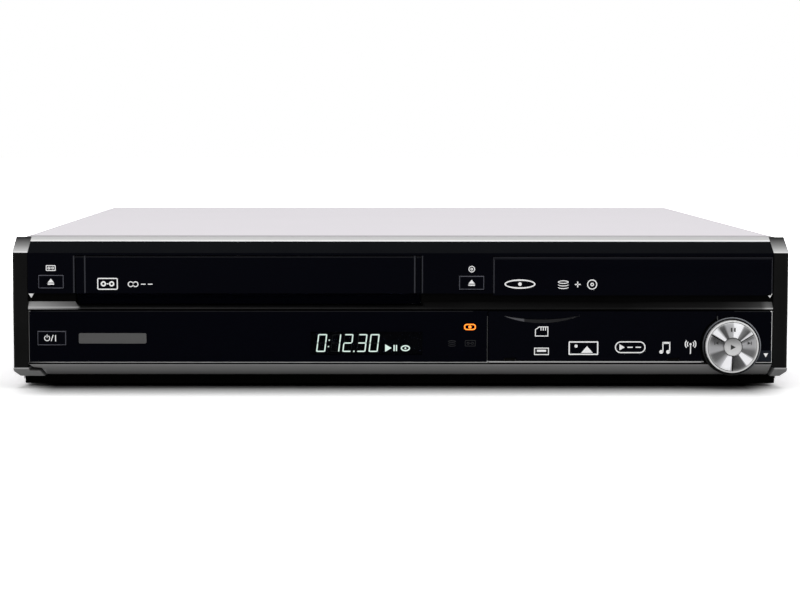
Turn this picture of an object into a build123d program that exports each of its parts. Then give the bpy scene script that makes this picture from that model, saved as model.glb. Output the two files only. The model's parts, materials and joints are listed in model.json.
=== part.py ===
from build123d import *
import math
import os

# A cassette and disc recorder for a living room, in millimetres.
# x runs to the right, y to the back and z up; z = 0 is the shelf it stands on.
# Places along the depth are given as t, the distance behind the fascia's face.

# ---- fascia: widths, from the left end to the right ----
cap_w = 8.3
part_gap = 0.2
eject_block_w = 26.0
tape_side = 2.0
open_block_w = 39.4
tray_side = 4.8

# ---- fascia: the stack of heights, from the shelf up ----
foot_h = 2.0
skirt_h = 5.4
bevel_h = 6.7
trim_lip = 0.6
lower_h = 28.9
band_gap = 0.8
band_h = 4.2
thin_band_h = 1.9
groove_h = 4.7
slope_rise = 8.1

# ---- fascia: depths ----
fascia_t = 12.0
panel_t = 2.5
frame_t = 3.0
strip_t = 8.4
web_h = 2.4
bevel_t = 5.6
skirt_t = 4.0

# ---- casing ----
board_room = 4.0
power_len = 68.0
board_back = 2.0
cover_inset = 3.3
sheet = 1.0
slip = 0.2
cover_lift = 2.0
dial_proud = 5.0
jack_proud = 8.0
chassis_flange = 11.0
foot_r = 11.0
foot_inset_x = 30.0
foot_inset_t = 28.0
vent_w = 2.5
vent_l = 26.0
vent_pitch = 6.0
screw_r = 3.2
screw_head = 1.6
screw_shank_r = 1.4

# ---- keys ----
key_gap = 0.25
key_travel = 0.8
key_flange = 1.0
key_flange_t = 1.4
stem_end = 7.5
power_key_w = 16.5
power_key_h = 8.5
power_key_x = 4.7
power_key_z = 9.4
eject_key_w = 14.7
eject_key_h = 8.0
eject_key_x = 5.5
eject_key_z = 2.5
open_key_w = 14.5
open_key_h = 8.2
open_key_x = 20.5
open_key_z = 1.9

# ---- cassette door ----
tape_drop = 1.5
tape_room = 2.8
door_gap = 0.4
door_t = 2.2
door_lip_r = 6.4
door_pin_r = 0.8
door_pin_l = 2.4
pin_play = 0.05
door_groove = 0.4
door_groove_left = 5.8
door_groove_right = 3.0

# ---- dial group ----
dial_in = 22.9
dial_z = 24.1
dial_r = 16.2
dial_hole = 0.1
cup_proud = 1.0
dial_well_r = 14.9
dial_floor_t = 4.5
dial_back_t = 7.0
rim_r = 14.6
rim_w = 0.9
rim_proud = 3.2
ring_w = 0.6
ring_t = 0.4
sector_r = 13.4
sector_gap = 0.8
sector_in_r = 5.3
sector_edge = 3.6
sector_crown = 4.3
centre_key_r = 4.9
dial_stem_r = 1.5
dial_stem_at = 9.4

# ---- front flap and the bay behind it ----
flap_w = 126.7
flap_overlap = 8.3
flap_side = 0.3
flap_t = 2.3
flap_clear_r = 17.4
flap_pin_r = 0.7
flap_pin_l = 14.0
lug_w = 6.0
lug_in = 12.0
notch_w = 41.6
notch_in = 30.0
notch_drop = 2.7
notch_deep = 4.0
notch_rise = 1.7
notch_cut = 1.0
bay_in = 4.0
bay_t = 10.0
bay_wall = 1.5
jack_r = 4.2
jack_bore = 1.8
jack_out = 6.0
pane_chamfer = 0.4

# ---- cassette deck ----
deck_t0 = 30.0
deck_len = 226.0
deck_z = 24.0
deck_sheet = 1.5
cassette_w = 188.0
cassette_l = 104.0
cassette_h = 25.0
cassette_play = 0.5
load_travel = 55.0
drop_travel = 12.0
slide_play = 0.4
slide_w = 1.8
drum_r = 31.0
drum_tilt = 6.0
drum_h = 15.0
capstan_r = 2.0
flywheel_r = 26.0
reel_span = 92.0
reel_r = 20.0
pinch_r = 5.5
pinch_swing = 15.0

# ---- disc drive ----
drive_t0 = 14.0
drive_back = 15.6
drive_wall = 1.5
drive_z0 = 42.8
drive_h = 36.0
tray_w = 146.0
tray_h = 5.0
tray_z = 58.0
tray_travel = 140.0
tray_front_t = 2.4
tray_rim = 4.0
disc_r = 60.5
disc_small_r = 40.5
spindle_in = 76.0
slot_w = 36.0
gear_module = 1.0
gear_teeth = 20
gear_in = 3.0
rack_spare = 3.4
sled_len = 22.0
sled_travel = 34.0

# ---- levels and places worked out from the values above ----
deck_t1 = deck_t0 + deck_len
floor_t1 = deck_t1 + board_room + power_len + board_back
cover_len = floor_t1 + 2 * sheet - fascia_t
depth = dial_proud + fascia_t + cover_len + jack_proud
face_y = dial_proud - depth / 2
tape_w = cassette_w + 2 * tape_side
tape_h = cassette_h + tape_room
tray_front_w = tray_w + 2 * tray_side
fascia_w = eject_block_w + tape_w + open_block_w + tray_front_w + 2 * (cap_w + part_gap)
half_w = fascia_w / 2
panel_half = half_w - cap_w - part_gap
bevel_z0 = foot_h + skirt_h
bevel_z1 = bevel_z0 + bevel_h
lower_z0 = bevel_z1 + trim_lip
lower_z1 = lower_z0 + lower_h
band_z0 = lower_z1 + band_gap
band_z1 = band_z0 + band_h
upper_z0 = band_z1 + groove_h
tape_z0 = band_z0 + thin_band_h + part_gap * 1.5
tape_z1 = tape_z0 + tape_h
upper_z1 = tape_z1 + tape_drop
top_z = upper_z1 + slope_rise
frame_z0 = lower_z0 - part_gap / 2
frame_back = panel_t + frame_t
cover_half = half_w - cover_inset
tray_half = cover_half - sheet - slip
cover_back = fascia_t + cover_len
panel_back = cover_back - sheet
tape_x0 = -panel_half + eject_block_w
tape_x1 = tape_x0 + tape_w
tape_x = (tape_x0 + tape_x1) / 2
tray_x1 = panel_half
tray_x0 = tray_x1 - tray_front_w
tray_x = (tray_x0 + tray_x1) / 2
dial_x = panel_half - dial_in
flap_x1 = dial_x - flap_overlap
flap_x0 = flap_x1 - flap_w
slope = slope_rise / fascia_t
skin_drop = panel_t * math.hypot(1, slope)
floor_z = foot_h + sheet
gear_r = gear_module * gear_teeth / 2
gear_t = drive_t0 + gear_r + gear_in
rack_t1 = gear_t + tray_travel + rack_spare
tray_t = (tray_front_t, rack_t1 + tray_rim)
drive_t1 = tray_t[1] + drive_back


def at(t):
    """The y of a place t behind the fascia's face."""
    return face_y + t


def slope_z(t):
    """The height of the fascia's sloping top at t."""
    return upper_z1 + slope * t


def span(x, t, z):
    """Low and high places in x, t and z, as pairs in x, y and z."""
    return x, (at(t[0]), at(t[1])), z


def block(x, t, z, mode=Mode.ADD):
    """A box between low and high places."""
    pairs = span(x, t, z)
    with Locations(tuple((low + high) / 2 for low, high in pairs)):
        Box(*(high - low for low, high in pairs), mode=mode)


def post(x, t, r, z, mode=Mode.ADD):
    """A round bar standing up."""
    with Locations((x, at(t), (z[0] + z[1]) / 2)):
        Cylinder(r, z[1] - z[0], mode=mode)


def barrel(x, z, r, t, mode=Mode.ADD):
    """A round bar along the depth."""
    with Locations(Location((x, at((t[0] + t[1]) / 2), z), (90, 0, 0))):
        Cylinder(r, t[1] - t[0], mode=mode)


def axle(t, z, r, x, mode=Mode.ADD):
    """A round bar along the width."""
    with Locations(Location(((x[0] + x[1]) / 2, at(t), z), (0, 90, 0))):
        Cylinder(r, x[1] - x[0], mode=mode)


def run(profile, x, mode=Mode.ADD):
    """A profile of (t, z) points drawn along the width."""
    with BuildSketch(Plane.YZ.offset(x[0])) as section:
        with BuildLine():
            Polyline([(at(t), z) for t, z in profile], close=True)
        make_face()
    extrude(section.sketch, amount=x[1] - x[0], mode=mode)


def front(outline, t, mode=Mode.ADD):
    """An outline of (x, z) points drawn along the depth."""
    with BuildSketch(Plane.XZ.offset(-at(t[1]))) as section:
        with BuildLine():
            Polyline(outline, close=True)
        make_face()
    extrude(section.sketch, amount=t[1] - t[0], mode=mode)


pieces = {}


def keep(build, name):
    """Labels a finished piece and keeps it for writing."""
    build.part.label = name
    pieces[name] = build.part


# ======== front frame and trims ========
# The black moulding that everything at the front is fixed to.
rail_z = slope_z(strip_t)
inner_z = slope_z(panel_t) - skin_drop
web_z = slope_z(frame_back) - skin_drop - web_h
hinge_t = door_gap + door_t / 2
hinge_z = tape_z1 - door_gap - door_t / 2
power_x = (-panel_half + power_key_x, -panel_half + power_key_x + power_key_w)
power_z = (lower_z0 + power_key_z, lower_z0 + power_key_z + power_key_h)
eject_x = (-panel_half + eject_key_x, -panel_half + eject_key_x + eject_key_w)
eject_z = (upper_z0 + eject_key_z, upper_z0 + eject_key_z + eject_key_h)
open_x = (tape_x1 + open_key_x, tape_x1 + open_key_x + open_key_w)
open_z = (upper_z0 + open_key_z, upper_z0 + open_key_z + open_key_h)
key_holes = ((power_x, power_z), (eject_x, eject_z), (open_x, open_z))

flap_z0 = lower_z0 + part_gap
flap_z1 = lower_z1 - part_gap
flap_hinge_t = flap_t / 2
flap_hinge_z = flap_z0 + flap_t / 2
bay_x = (flap_x0 + bay_in, dial_x - dial_r - bay_in)
bay_z = (flap_hinge_z + 2.6, lower_z1 - 3.0)
lug_places = (flap_x0 + lug_in, bay_x[1] - lug_in)
display_x = (tape_x + 33.0, tape_x + 99.0)
display_z = (lower_z0 + 3.5, lower_z1 - 5.5)
boss_places = (
    (-panel_half + 34, lower_z0 + 4),
    (tape_x - 12, band_z0 - 4),
    (flap_x0 - 16, band_z0 - 4),
    (dial_x - 13, lower_z1 - 3),
    (dial_x + 13, lower_z1 - 3),
)
board_t = 9.5
board_th = 1.6
boss_r = 2.6

with BuildPart() as front_frame:
    run(
        [
            (panel_t, frame_z0),
            (panel_t, inner_z),
            (strip_t, slope_z(strip_t) - skin_drop),
            (strip_t, rail_z),
            (fascia_t, rail_z),
            (fascia_t, slope_z(strip_t) - skin_drop - web_h),
            (strip_t, slope_z(strip_t) - skin_drop - web_h),
            (frame_back, web_z),
            (frame_back, frame_z0),
        ],
        (-panel_half, panel_half),
    )
    for side in (-1, 1):
        flange = sorted((side * panel_half, side * (panel_half - frame_t)))
        block(flange, (frame_back, fascia_t), (frame_z0, web_z))
    block((tape_x0, tape_x1), (panel_t, frame_back), (tape_z0, web_z), Mode.SUBTRACT)
    block((tray_x - tray_w / 2 - 1.5, tray_x + tray_w / 2 + 1.5), (panel_t, frame_back),
          (tray_z - 4.5, tray_z + tray_h + 4), Mode.SUBTRACT)
    block(display_x, (panel_t, frame_back), display_z, Mode.SUBTRACT)
    block(bay_x, (panel_t, frame_back), bay_z, Mode.SUBTRACT)
    for key_x, key_z in key_holes:
        block(key_x, (panel_t, frame_back), key_z, Mode.SUBTRACT)
    barrel(dial_x, dial_z, dial_r + dial_hole, (0, fascia_t), Mode.SUBTRACT)
    for boss_x, boss_z in boss_places:
        barrel(boss_x, boss_z, boss_r, (frame_back, board_t))
    for lug_x in lug_places:
        lug = (lug_x - lug_w / 2, lug_x + lug_w / 2)
        axle(flap_hinge_t, flap_hinge_z, flap_t / 2, lug)
        block(lug, (flap_hinge_t, panel_t), (flap_hinge_z - flap_t / 2, flap_hinge_z + flap_t / 2))
        axle(flap_hinge_t, flap_hinge_z, flap_pin_r, lug, Mode.SUBTRACT)
keep(front_frame, "front_frame")

# The bright edge along the top, with a sloping wedge above each end cap.
with BuildPart() as top_trim:
    run([(strip_t, rail_z), (fascia_t, top_z), (fascia_t, rail_z)], (-panel_half, panel_half))
    for side in (-1, 1):
        ends = sorted((side * panel_half, side * half_w))
        run([(0, upper_z1), (fascia_t, top_z), (fascia_t, upper_z1)], ends)
keep(top_trim, "top_trim")

# The bright ledge between the two halves of the front, thinner under the cassette door.
band_low = band_z0 + thin_band_h
with BuildPart() as middle_trim:
    run([(0, band_z0), (0, band_z0 + 1), (panel_t, band_z1), (panel_t, band_z0)], (-panel_half, panel_half))
    low_step = band_z1 - band_low
    front(
        [
            (tape_x0 + 1.5, band_low),
            (tape_x0 + 1.5 - low_step, band_z1 + 1),
            (tape_x1 + 1, band_z1 + 1),
            (tape_x1 + 1, band_low),
        ],
        (-1, panel_t + 1),
        Mode.SUBTRACT,
    )
keep(middle_trim, "middle_trim")

# Its corner pieces stand under the end caps.
corner_z1 = bevel_z1 - 2.2
corner_z0 = bevel_z0 - 0.8
corner_outlines = (
    [
        (-half_w, corner_z1),
        (-panel_half - part_gap, corner_z1),
        (-panel_half + 0.4, corner_z1 - 1.8),
        (-panel_half + 6.0, corner_z1 - 2.0),
        (-panel_half + 8.0, corner_z0),
        (-half_w + 3.0, corner_z0),
        (-half_w, corner_z0 + 3.0),
    ],
    [
        (half_w, corner_z1),
        (panel_half + 1.4, corner_z1),
        (panel_half + 0.2, corner_z0),
        (half_w - 3.0, corner_z0),
        (half_w, corner_z0 + 3.0),
    ],
)

# The grey bevel along the bottom, cut away round the dial and stepped at its ends.
skirt_back = bevel_t + skirt_t + part_gap * 2
with BuildPart() as bottom_trim:
    run(
        [(0, frame_z0), (0, bevel_z1), (bevel_t, bevel_z0), (skirt_back, bevel_z0), (skirt_back, frame_z0)],
        (-panel_half, panel_half),
    )
    front(
        [
            (-half_w, bevel_z0 - 1),
            (-half_w, bevel_z1 - 0.5),
            (-panel_half + 0.4, bevel_z1 - 0.5),
            (-panel_half + 1.8, bevel_z1 - 2.0),
            (-panel_half + 6.8, bevel_z1 - 2.7),
            (-panel_half + 9.6, bevel_z0 - 1),
        ],
        (-1, fascia_t),
        Mode.SUBTRACT,
    )
    front(
        [
            (half_w, bevel_z0 - 1),
            (half_w, bevel_z1 - 0.5),
            (panel_half - 0.2, bevel_z1 - 0.5),
            (panel_half - 1.6, bevel_z0 - 1),
        ],
        (-1, fascia_t),
        Mode.SUBTRACT,
    )
    barrel(dial_x, dial_z, dial_r + dial_hole, (-1, fascia_t), Mode.SUBTRACT)
    for outline in corner_outlines:
        front(outline, (0, fascia_t))
    run(
        [
            (-1, corner_z0 - 1),
            (-1, corner_z1 - 0.8),
            (0, corner_z1 - 0.8),
            (4.6, corner_z0),
            (4.6, corner_z0 - 1),
        ],
        (-half_w - 1, half_w + 1),
        Mode.SUBTRACT,
    )
keep(bottom_trim, "bottom_trim")

# The black plinth, set back under the bevel.
skirt_t0 = fascia_t - skirt_t
with BuildPart() as base_skirt:
    block((-tray_half, tray_half), (skirt_t0, fascia_t), (foot_h, corner_z0 - part_gap))
    fillet(base_skirt.edges().filter_by(Axis.Z).group_by(Axis.Y)[0], radius=skirt_t * 0.6)
    block((-panel_half + 9.5, panel_half - 4.6), (skirt_t0, fascia_t), (foot_h, bevel_z0))
keep(base_skirt, "base_skirt")

# The upright black pillars at both ends of the front.
with BuildPart() as end_caps:
    for side in (-1, 1):
        ends = sorted((side * (half_w - cap_w), side * half_w))
        block(ends, (0, fascia_t), (corner_z1 + part_gap / 2, upper_z1 - part_gap / 2))
    fillet(end_caps.edges().filter_by(Axis.Z).group_by(Axis.Y)[0].sort_by(Axis.X)[0], radius=1.6)
    fillet(end_caps.edges().filter_by(Axis.Z).group_by(Axis.Y)[0].sort_by(Axis.X)[-1], radius=1.6)
keep(end_caps, "end_caps")

# ======== front panels ========
# The gloss black upper panel with the sloping band above the door and the tray.
skin_end = strip_t - part_gap
with BuildPart() as upper_panel:
    run(
        [
            (0, upper_z0),
            (0, upper_z1),
            (skin_end, slope_z(skin_end)),
            (skin_end, slope_z(skin_end) - skin_drop),
            (panel_t, inner_z),
            (panel_t, upper_z0),
        ],
        (-panel_half, panel_half),
    )
    block((tape_x0, tape_x1), (-1, panel_t + 1), (upper_z0 - 1, tape_z1), Mode.SUBTRACT)
    block((tray_x0, tray_x1 + 1), (-1, panel_t + 1), (upper_z0 - 1, tape_z1 - part_gap * 2), Mode.SUBTRACT)
    for key_x, key_z in key_holes[1:]:
        block(key_x, (-1, panel_t + 1), key_z, Mode.SUBTRACT)
    pin_reach = door_pin_l + door_gap
    axle(hinge_t, hinge_z, door_pin_r + pin_play, (tape_x0 - pin_reach, tape_x1 + pin_reach), Mode.SUBTRACT)
keep(upper_panel, "upper_panel")

# The smoked lower panes: the wide one over the display and the narrow one round the dial.
with BuildPart() as lower_panel:
    for pane in ((-panel_half + part_gap, flap_x0 - flap_side), (flap_x1 + flap_side, panel_half - part_gap)):
        block(pane, (0, panel_t), (lower_z0, lower_z1))
    chamfer(lower_panel.faces().filter_by(Axis.Y).group_by(Axis.Y)[0].edges(), length=pane_chamfer)
    block(power_x, (-1, panel_t + 1), power_z, Mode.SUBTRACT)
    barrel(dial_x, dial_z, dial_r + dial_hole, (-1, panel_t + 1), Mode.SUBTRACT)
keep(lower_panel, "lower_panel")

# The cassette door, hung by its two moulded pins, with its lower edge curled inward.
lip_t = door_gap + door_lip_r
with BuildPart() as cassette_door:
    door_x = (tape_x0 + door_gap, tape_x1 - door_gap)
    with BuildSketch(Plane.YZ.offset(door_x[0])) as door_section:
        with BuildLine():
            Line((at(door_gap), hinge_z), (at(door_gap), upper_z0))
            RadiusArc((at(door_gap), upper_z0), (at(lip_t), upper_z0 - door_lip_r), door_lip_r)
            Line((at(lip_t), upper_z0 - door_lip_r), (at(lip_t), upper_z0 - door_lip_r + door_t))
            RadiusArc(
                (at(lip_t), upper_z0 - door_lip_r + door_t),
                (at(door_gap + door_t), upper_z0),
                -(door_lip_r - door_t),
            )
            Line((at(door_gap + door_t), upper_z0), (at(door_gap + door_t), hinge_z))
            Line((at(door_gap + door_t), hinge_z), (at(door_gap), hinge_z))
        make_face()
    extrude(door_section.sketch, amount=door_x[1] - door_x[0])
    axle(hinge_t, hinge_z, door_t / 2, door_x)
    axle(hinge_t, hinge_z, door_pin_r, (door_x[0] - door_pin_l, door_x[1] + door_pin_l))
    for groove_x in (tape_x0 + door_groove_left, tape_x1 - door_groove_right):
        block((groove_x - door_groove / 2, groove_x + door_groove / 2), (0, door_gap + door_groove),
              (tape_z0 - 1, tape_z1 + 1), Mode.SUBTRACT)
keep(cassette_door, "cassette_door")

# The drop-down flap, with a crescent finger notch, cut away round the dial.
notch_x = flap_x0 + notch_in
with BuildPart() as front_flap:
    block((flap_x0, flap_x1), (0, flap_t), (flap_hinge_z, flap_z1))
    axle(flap_hinge_t, flap_hinge_z, flap_t / 2, (flap_x0, flap_x1))
    barrel(dial_x, dial_z, flap_clear_r, (-1, flap_t + 1), Mode.SUBTRACT)
    with BuildSketch(Plane.XZ.offset(-at(notch_cut))) as crescent:
        with BuildLine():
            notch_a = (notch_x - notch_w / 2, lower_z1 - notch_drop)
            notch_b = (notch_x + notch_w / 2, lower_z1 - notch_drop)
            ThreePointArc(notch_a, (notch_x, lower_z1 - notch_drop - notch_deep), notch_b)
            ThreePointArc(notch_b, (notch_x, lower_z1 - notch_drop - notch_rise), notch_a)
        make_face()
    extrude(crescent.sketch, amount=notch_cut + 1, mode=Mode.SUBTRACT)
    lug_room = lug_w / 2 + flap_side
    for lug_x in lug_places:
        block((lug_x - lug_room, lug_x + lug_room), (-1, flap_t + 1),
              (flap_z0 - 1, flap_hinge_z + flap_t / 2 + flap_side), Mode.SUBTRACT)
        axle(flap_hinge_t, flap_hinge_z, flap_pin_r + pin_play,
             (lug_x - flap_pin_l / 2 - flap_side, lug_x + flap_pin_l / 2 + flap_side), Mode.SUBTRACT)
keep(front_flap, "front_flap")

with BuildPart() as flap_pins:
    for lug_x in lug_places:
        axle(flap_hinge_t, flap_hinge_z, flap_pin_r, (lug_x - flap_pin_l / 2, lug_x + flap_pin_l / 2))
keep(flap_pins, "flap_pins")

# The bay behind the flap: a shallow tray with the sockets in its back wall.
bay_back = frame_back + bay_t
socket_z = (bay_z[0] + bay_z[1]) / 2
jack_places = [bay_x[1] - 12.0 - 15.0 * i for i in range(3)]
round_x = jack_places[2] - 17.0
port_x = bay_x[0] + 18.0
card_w = 25.0
card_h = 3.4
usb_w = 13.5
usb_h = 6.2
card_z = socket_z + 5.0
usb_z = socket_z - 5.5
with BuildPart() as jack_bay:
    block((bay_x[0] - bay_wall, bay_x[1] + bay_wall), (frame_back, bay_back + bay_wall),
          (bay_z[0] - bay_wall, bay_z[1] + bay_wall))
    block(bay_x, (frame_back - 1, bay_back), bay_z, Mode.SUBTRACT)
    for jack_x in jack_places + [round_x]:
        barrel(jack_x, socket_z, jack_r, (bay_back, bay_back + bay_wall), Mode.SUBTRACT)
    block((port_x - card_w / 2, port_x + card_w / 2), (bay_back, bay_back + bay_wall),
          (card_z - card_h / 2, card_z + card_h / 2), Mode.SUBTRACT)
    block((port_x - usb_w / 2, port_x + usb_w / 2), (bay_back, bay_back + bay_wall),
          (usb_z - usb_h / 2, usb_z + usb_h / 2), Mode.SUBTRACT)
keep(jack_bay, "jack_bay")

# The sockets in the bay, each with its body behind the wall.
body_t = bay_back + bay_wall
body_len = 11.0
with BuildPart() as front_sockets:
    for jack_x in jack_places:
        barrel(jack_x, socket_z, jack_r, (body_t - jack_out, body_t))
        block((jack_x - 6, jack_x + 6), (body_t, body_t + body_len), (socket_z - 7, socket_z + 7))
        barrel(jack_x, socket_z, jack_bore, (body_t - jack_out, body_t + 4), Mode.SUBTRACT)
    barrel(round_x, socket_z, jack_r, (body_t - jack_out / 2, body_t))
    block((round_x - 6.5, round_x + 6.5), (body_t, body_t + body_len), (socket_z - 7, socket_z + 7))
    for card_t in ((port_x, card_w, card_z, card_h), (port_x, usb_w, usb_z, usb_h)):
        mid_x, wide, mid_z, high = card_t
        block((mid_x - wide / 2, mid_x + wide / 2), (bay_back, body_t + 18),
              (mid_z - high / 2, mid_z + high / 2))
        inner = 0.4
        block((mid_x - wide / 2 + inner, mid_x + wide / 2 - inner), (bay_back - 1, body_t + 14),
              (mid_z - high / 2 + inner, mid_z + high / 2 - inner), Mode.SUBTRACT)
keep(front_sockets, "front_sockets")

# ======== keys ========
# Each key slides in its hole and is held in by a flange behind the frame.
seat_gap = 0.1
key_sizes = {"power_key": key_holes[0], "eject_key": key_holes[1], "open_close_key": key_holes[2]}
for key_name, (key_x, key_z) in key_sizes.items():
    with BuildPart() as key:
        cap_x = (key_x[0] + key_gap, key_x[1] - key_gap)
        cap_z = (key_z[0] + key_gap, key_z[1] - key_gap)
        block(cap_x, (0, frame_back + seat_gap), cap_z)
        chamfer(key.faces().filter_by(Axis.Y).group_by(Axis.Y)[0].edges(), length=0.35)
        flange_t = (frame_back + seat_gap, frame_back + seat_gap + key_flange_t)
        block((key_x[0] - key_flange, key_x[1] + key_flange), flange_t,
              (key_z[0] - key_flange, key_z[1] + key_flange))
        stem_x, stem_z = sum(key_x) / 2, sum(key_z) / 2
        block((stem_x - 2, stem_x + 2), (frame_back, stem_end), (stem_z - 1.5, stem_z + 1.5))
    keep(key, key_name)

# ======== dial group ========
dial_stems = [
    (
        dial_x + dial_stem_at * math.cos(math.radians(angle)),
        dial_z + dial_stem_at * math.sin(math.radians(angle)),
    )
    for angle in (90, 210, 330)
]
stem_play = 0.4
with BuildPart() as dial_cup:
    barrel(dial_x, dial_z, dial_r, (-cup_proud, dial_back_t))
    barrel(dial_x, dial_z, dial_well_r, (-2.0, dial_floor_t), Mode.SUBTRACT)
    for stem_x, stem_z in dial_stems + [(dial_x, dial_z)]:
        barrel(stem_x, stem_z, dial_stem_r + stem_play, (dial_floor_t - 1, dial_back_t + 1), Mode.SUBTRACT)
    block((dial_x - 5, dial_x + 5), (frame_back, dial_back_t), (dial_z + dial_r - 1, dial_z + dial_r + 4))
keep(dial_cup, "dial_cup")

with BuildPart() as dial_rims:
    barrel(dial_x, dial_z, dial_r, (-cup_proud - ring_t, -cup_proud))
    barrel(dial_x, dial_z, dial_r - ring_w, (-cup_proud - ring_t, -cup_proud), Mode.SUBTRACT)
    barrel(dial_x, dial_z, rim_r, (-rim_proud, dial_floor_t))
    chamfer(dial_rims.faces().sort_by(Axis.Y)[0].edges(), length=0.4)
    barrel(dial_x, dial_z, rim_r - rim_w, (-rim_proud - 1, dial_floor_t + 1), Mode.SUBTRACT)
keep(dial_rims, "dial_rims")

sector_names = ("dial_key_top", "dial_key_left", "dial_key_right")
dial_axis = Axis((dial_x, 0, dial_z), (0, 1, 0))
sector_back = 2.0
for sector_name, middle, (stem_x, stem_z) in zip(sector_names, (90, 210, 330), dial_stems):
    with BuildPart() as sector:
        with BuildSketch(Plane.XY.offset(dial_z)) as crown:
            with BuildLine():
                Polyline(
                    (dial_x + sector_in_r, at(sector_back)),
                    (dial_x + sector_in_r, at(-sector_crown)),
                    (dial_x + sector_r - 0.4, at(-sector_edge)),
                    (dial_x + sector_r, at(0.4 - sector_edge)),
                    (dial_x + sector_r, at(sector_back)),
                    close=True,
                )
            make_face()
        revolve(crown.sketch, axis=dial_axis)
        turns = [math.radians(middle + turn) for turn in (-60, 0, 60)]
        apex = sector_gap / 2 / math.sin(math.radians(60))
        apex_x = apex * math.cos(turns[1])
        apex_z = apex * math.sin(turns[1])
        reach = sector_r * 3
        sector_plane = Plane((dial_x, at(sector_back), dial_z), x_dir=(1, 0, 0), z_dir=(0, -1, 0))
        with BuildSketch(sector_plane) as wedge:
            far = [(apex_x + reach * math.cos(turn), apex_z + reach * math.sin(turn)) for turn in turns]
            Polygon((apex_x, apex_z), *far, align=None)
        extrude(wedge.sketch, amount=sector_back + dial_proud, mode=Mode.INTERSECT)
        barrel(stem_x, stem_z, dial_stem_r, (sector_back - 0.1, stem_end))
    keep(sector, sector_name)

with BuildPart() as dial_key_centre:
    barrel(dial_x, dial_z, centre_key_r, (-dial_proud, 2.0))
    fillet(dial_key_centre.faces().filter_by(Axis.Y).group_by(Axis.Y)[0].edges(), radius=0.8)
    barrel(dial_x, dial_z, dial_stem_r, (1.9, stem_end))
keep(dial_key_centre, "dial_key_centre")

# ======== boards behind the front ========
# The key board with a tab up to each upper key, and the small board behind the dial.
# Under every key stands a small push switch, just short of the key's stem.
switch_gap = 0.1
switch_w = 6.0
switch_t = board_t - 0.6
key_middles = [(sum(key_x) / 2, sum(key_z) / 2) for key_x, key_z in key_holes]
board_t1 = board_t + board_th
board_x1 = open_x[1] + 3.0
tab_z = eject_z[1] + 3.0
board_z1 = tape_z0 - 1.5
with BuildPart() as control_boards:
    front(
        [
            (-panel_half + frame_t + 0.4, lower_z0 + 0.5),
            (board_x1, lower_z0 + 0.5),
            (board_x1, tab_z),
            (open_x[0] - 3, tab_z),
            (open_x[0] - 3, board_z1),
            (eject_x[1] + 1.5, board_z1),
            (eject_x[1] + 1.5, tab_z),
            (-panel_half + frame_t + 0.4, tab_z),
        ],
        (board_t, board_t1),
    )
    block((dial_x - dial_r, panel_half - frame_t - 0.4), (board_t, board_t1), (lower_z0 + 0.5, lower_z1 - 1))
    for switch_x, switch_z in key_middles + dial_stems + [(dial_x, dial_z)]:
        side = switch_w / 2 if (switch_x, switch_z) in key_middles else switch_w / 2 - 0.4
        block((switch_x - side, switch_x + side), (switch_t, board_t), (switch_z - side, switch_z + side))
        barrel(switch_x, switch_z, 1.2, (stem_end + key_travel + switch_gap, switch_t))
keep(control_boards, "control_boards")

# The glass display tube, seen through the smoked pane.
with BuildPart() as display_module:
    tube_t = board_t - 0.4
    block((display_x[0] - 5, display_x[1] + 5), (frame_back, tube_t), (display_z[0] - 2, display_z[1] + 2))
    block((display_x[0] + 1, display_x[1] - 1), (panel_t + 0.6, frame_back),
          (display_z[0] + 1, display_z[1] - 1))
    for pin_x in display_x:
        block((pin_x - 2, pin_x + 2), (tube_t, board_t), (display_z[0], display_z[0] + 3))
keep(display_module, "display_module")

# ======== casing ========
drive_x = (tray_x - tray_w / 2 - 4, tray_x + tray_w / 2 + 4)
side_screw_z = floor_z + chassis_flange / 2 + 1
side_screw_t = (60.0, cover_back - 50.0)
with BuildPart() as bottom_chassis:
    block((-tray_half, tray_half), (fascia_t, floor_t1), (foot_h, floor_z))
    for side in (-1, 1):
        wall = sorted((side * (tray_half - sheet), side * tray_half))
        block(wall, (fascia_t, floor_t1), (floor_z, floor_z + chassis_flange))
    block((-tray_half, tray_half), (fascia_t, fascia_t + sheet), (floor_z, floor_z + chassis_flange))
    block((-tray_half, tray_half), (floor_t1 - sheet, floor_t1), (floor_z, floor_z + chassis_flange))
    for vent_x in (tape_x, drive_x[0] - 24):
        for i in range(-4, 5):
            low = vent_x + i * vent_pitch
            block((low - vent_w / 2, low + vent_w / 2), (deck_t0 + 30, deck_t0 + 30 + vent_l),
                  (foot_h - 1, floor_z + 1), Mode.SUBTRACT)
    for screw_t in side_screw_t:
        axle(screw_t, side_screw_z, screw_shank_r, (-half_w, half_w), Mode.SUBTRACT)
keep(bottom_chassis, "bottom_chassis")

lip_h = 9.0
rear_screw_x = (-160.0, 0.0, 160.0)
rear_screw_z = top_z - lip_h / 2 - 0.5
with BuildPart() as top_cover:
    block((-cover_half, cover_half), (fascia_t + slip, cover_back), (foot_h + cover_lift, top_z))
    fillet(top_cover.edges().filter_by(Axis.Y).group_by(Axis.Z)[-1], radius=2.2)
    inner_half = cover_half - sheet
    block((-inner_half, inner_half), (fascia_t, panel_back), (0, top_z - sheet), Mode.SUBTRACT)
    block((-inner_half, inner_half), (panel_back - 1, cover_back + 1), (0, top_z - lip_h), Mode.SUBTRACT)
    for screw_t in side_screw_t:
        axle(screw_t, side_screw_z, screw_shank_r + slip, (-cover_half - 1, cover_half + 1), Mode.SUBTRACT)
    for screw_x in rear_screw_x:
        barrel(screw_x, rear_screw_z, screw_shank_r + slip, (panel_back, cover_back + 1), Mode.SUBTRACT)
keep(top_cover, "top_cover")

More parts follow.
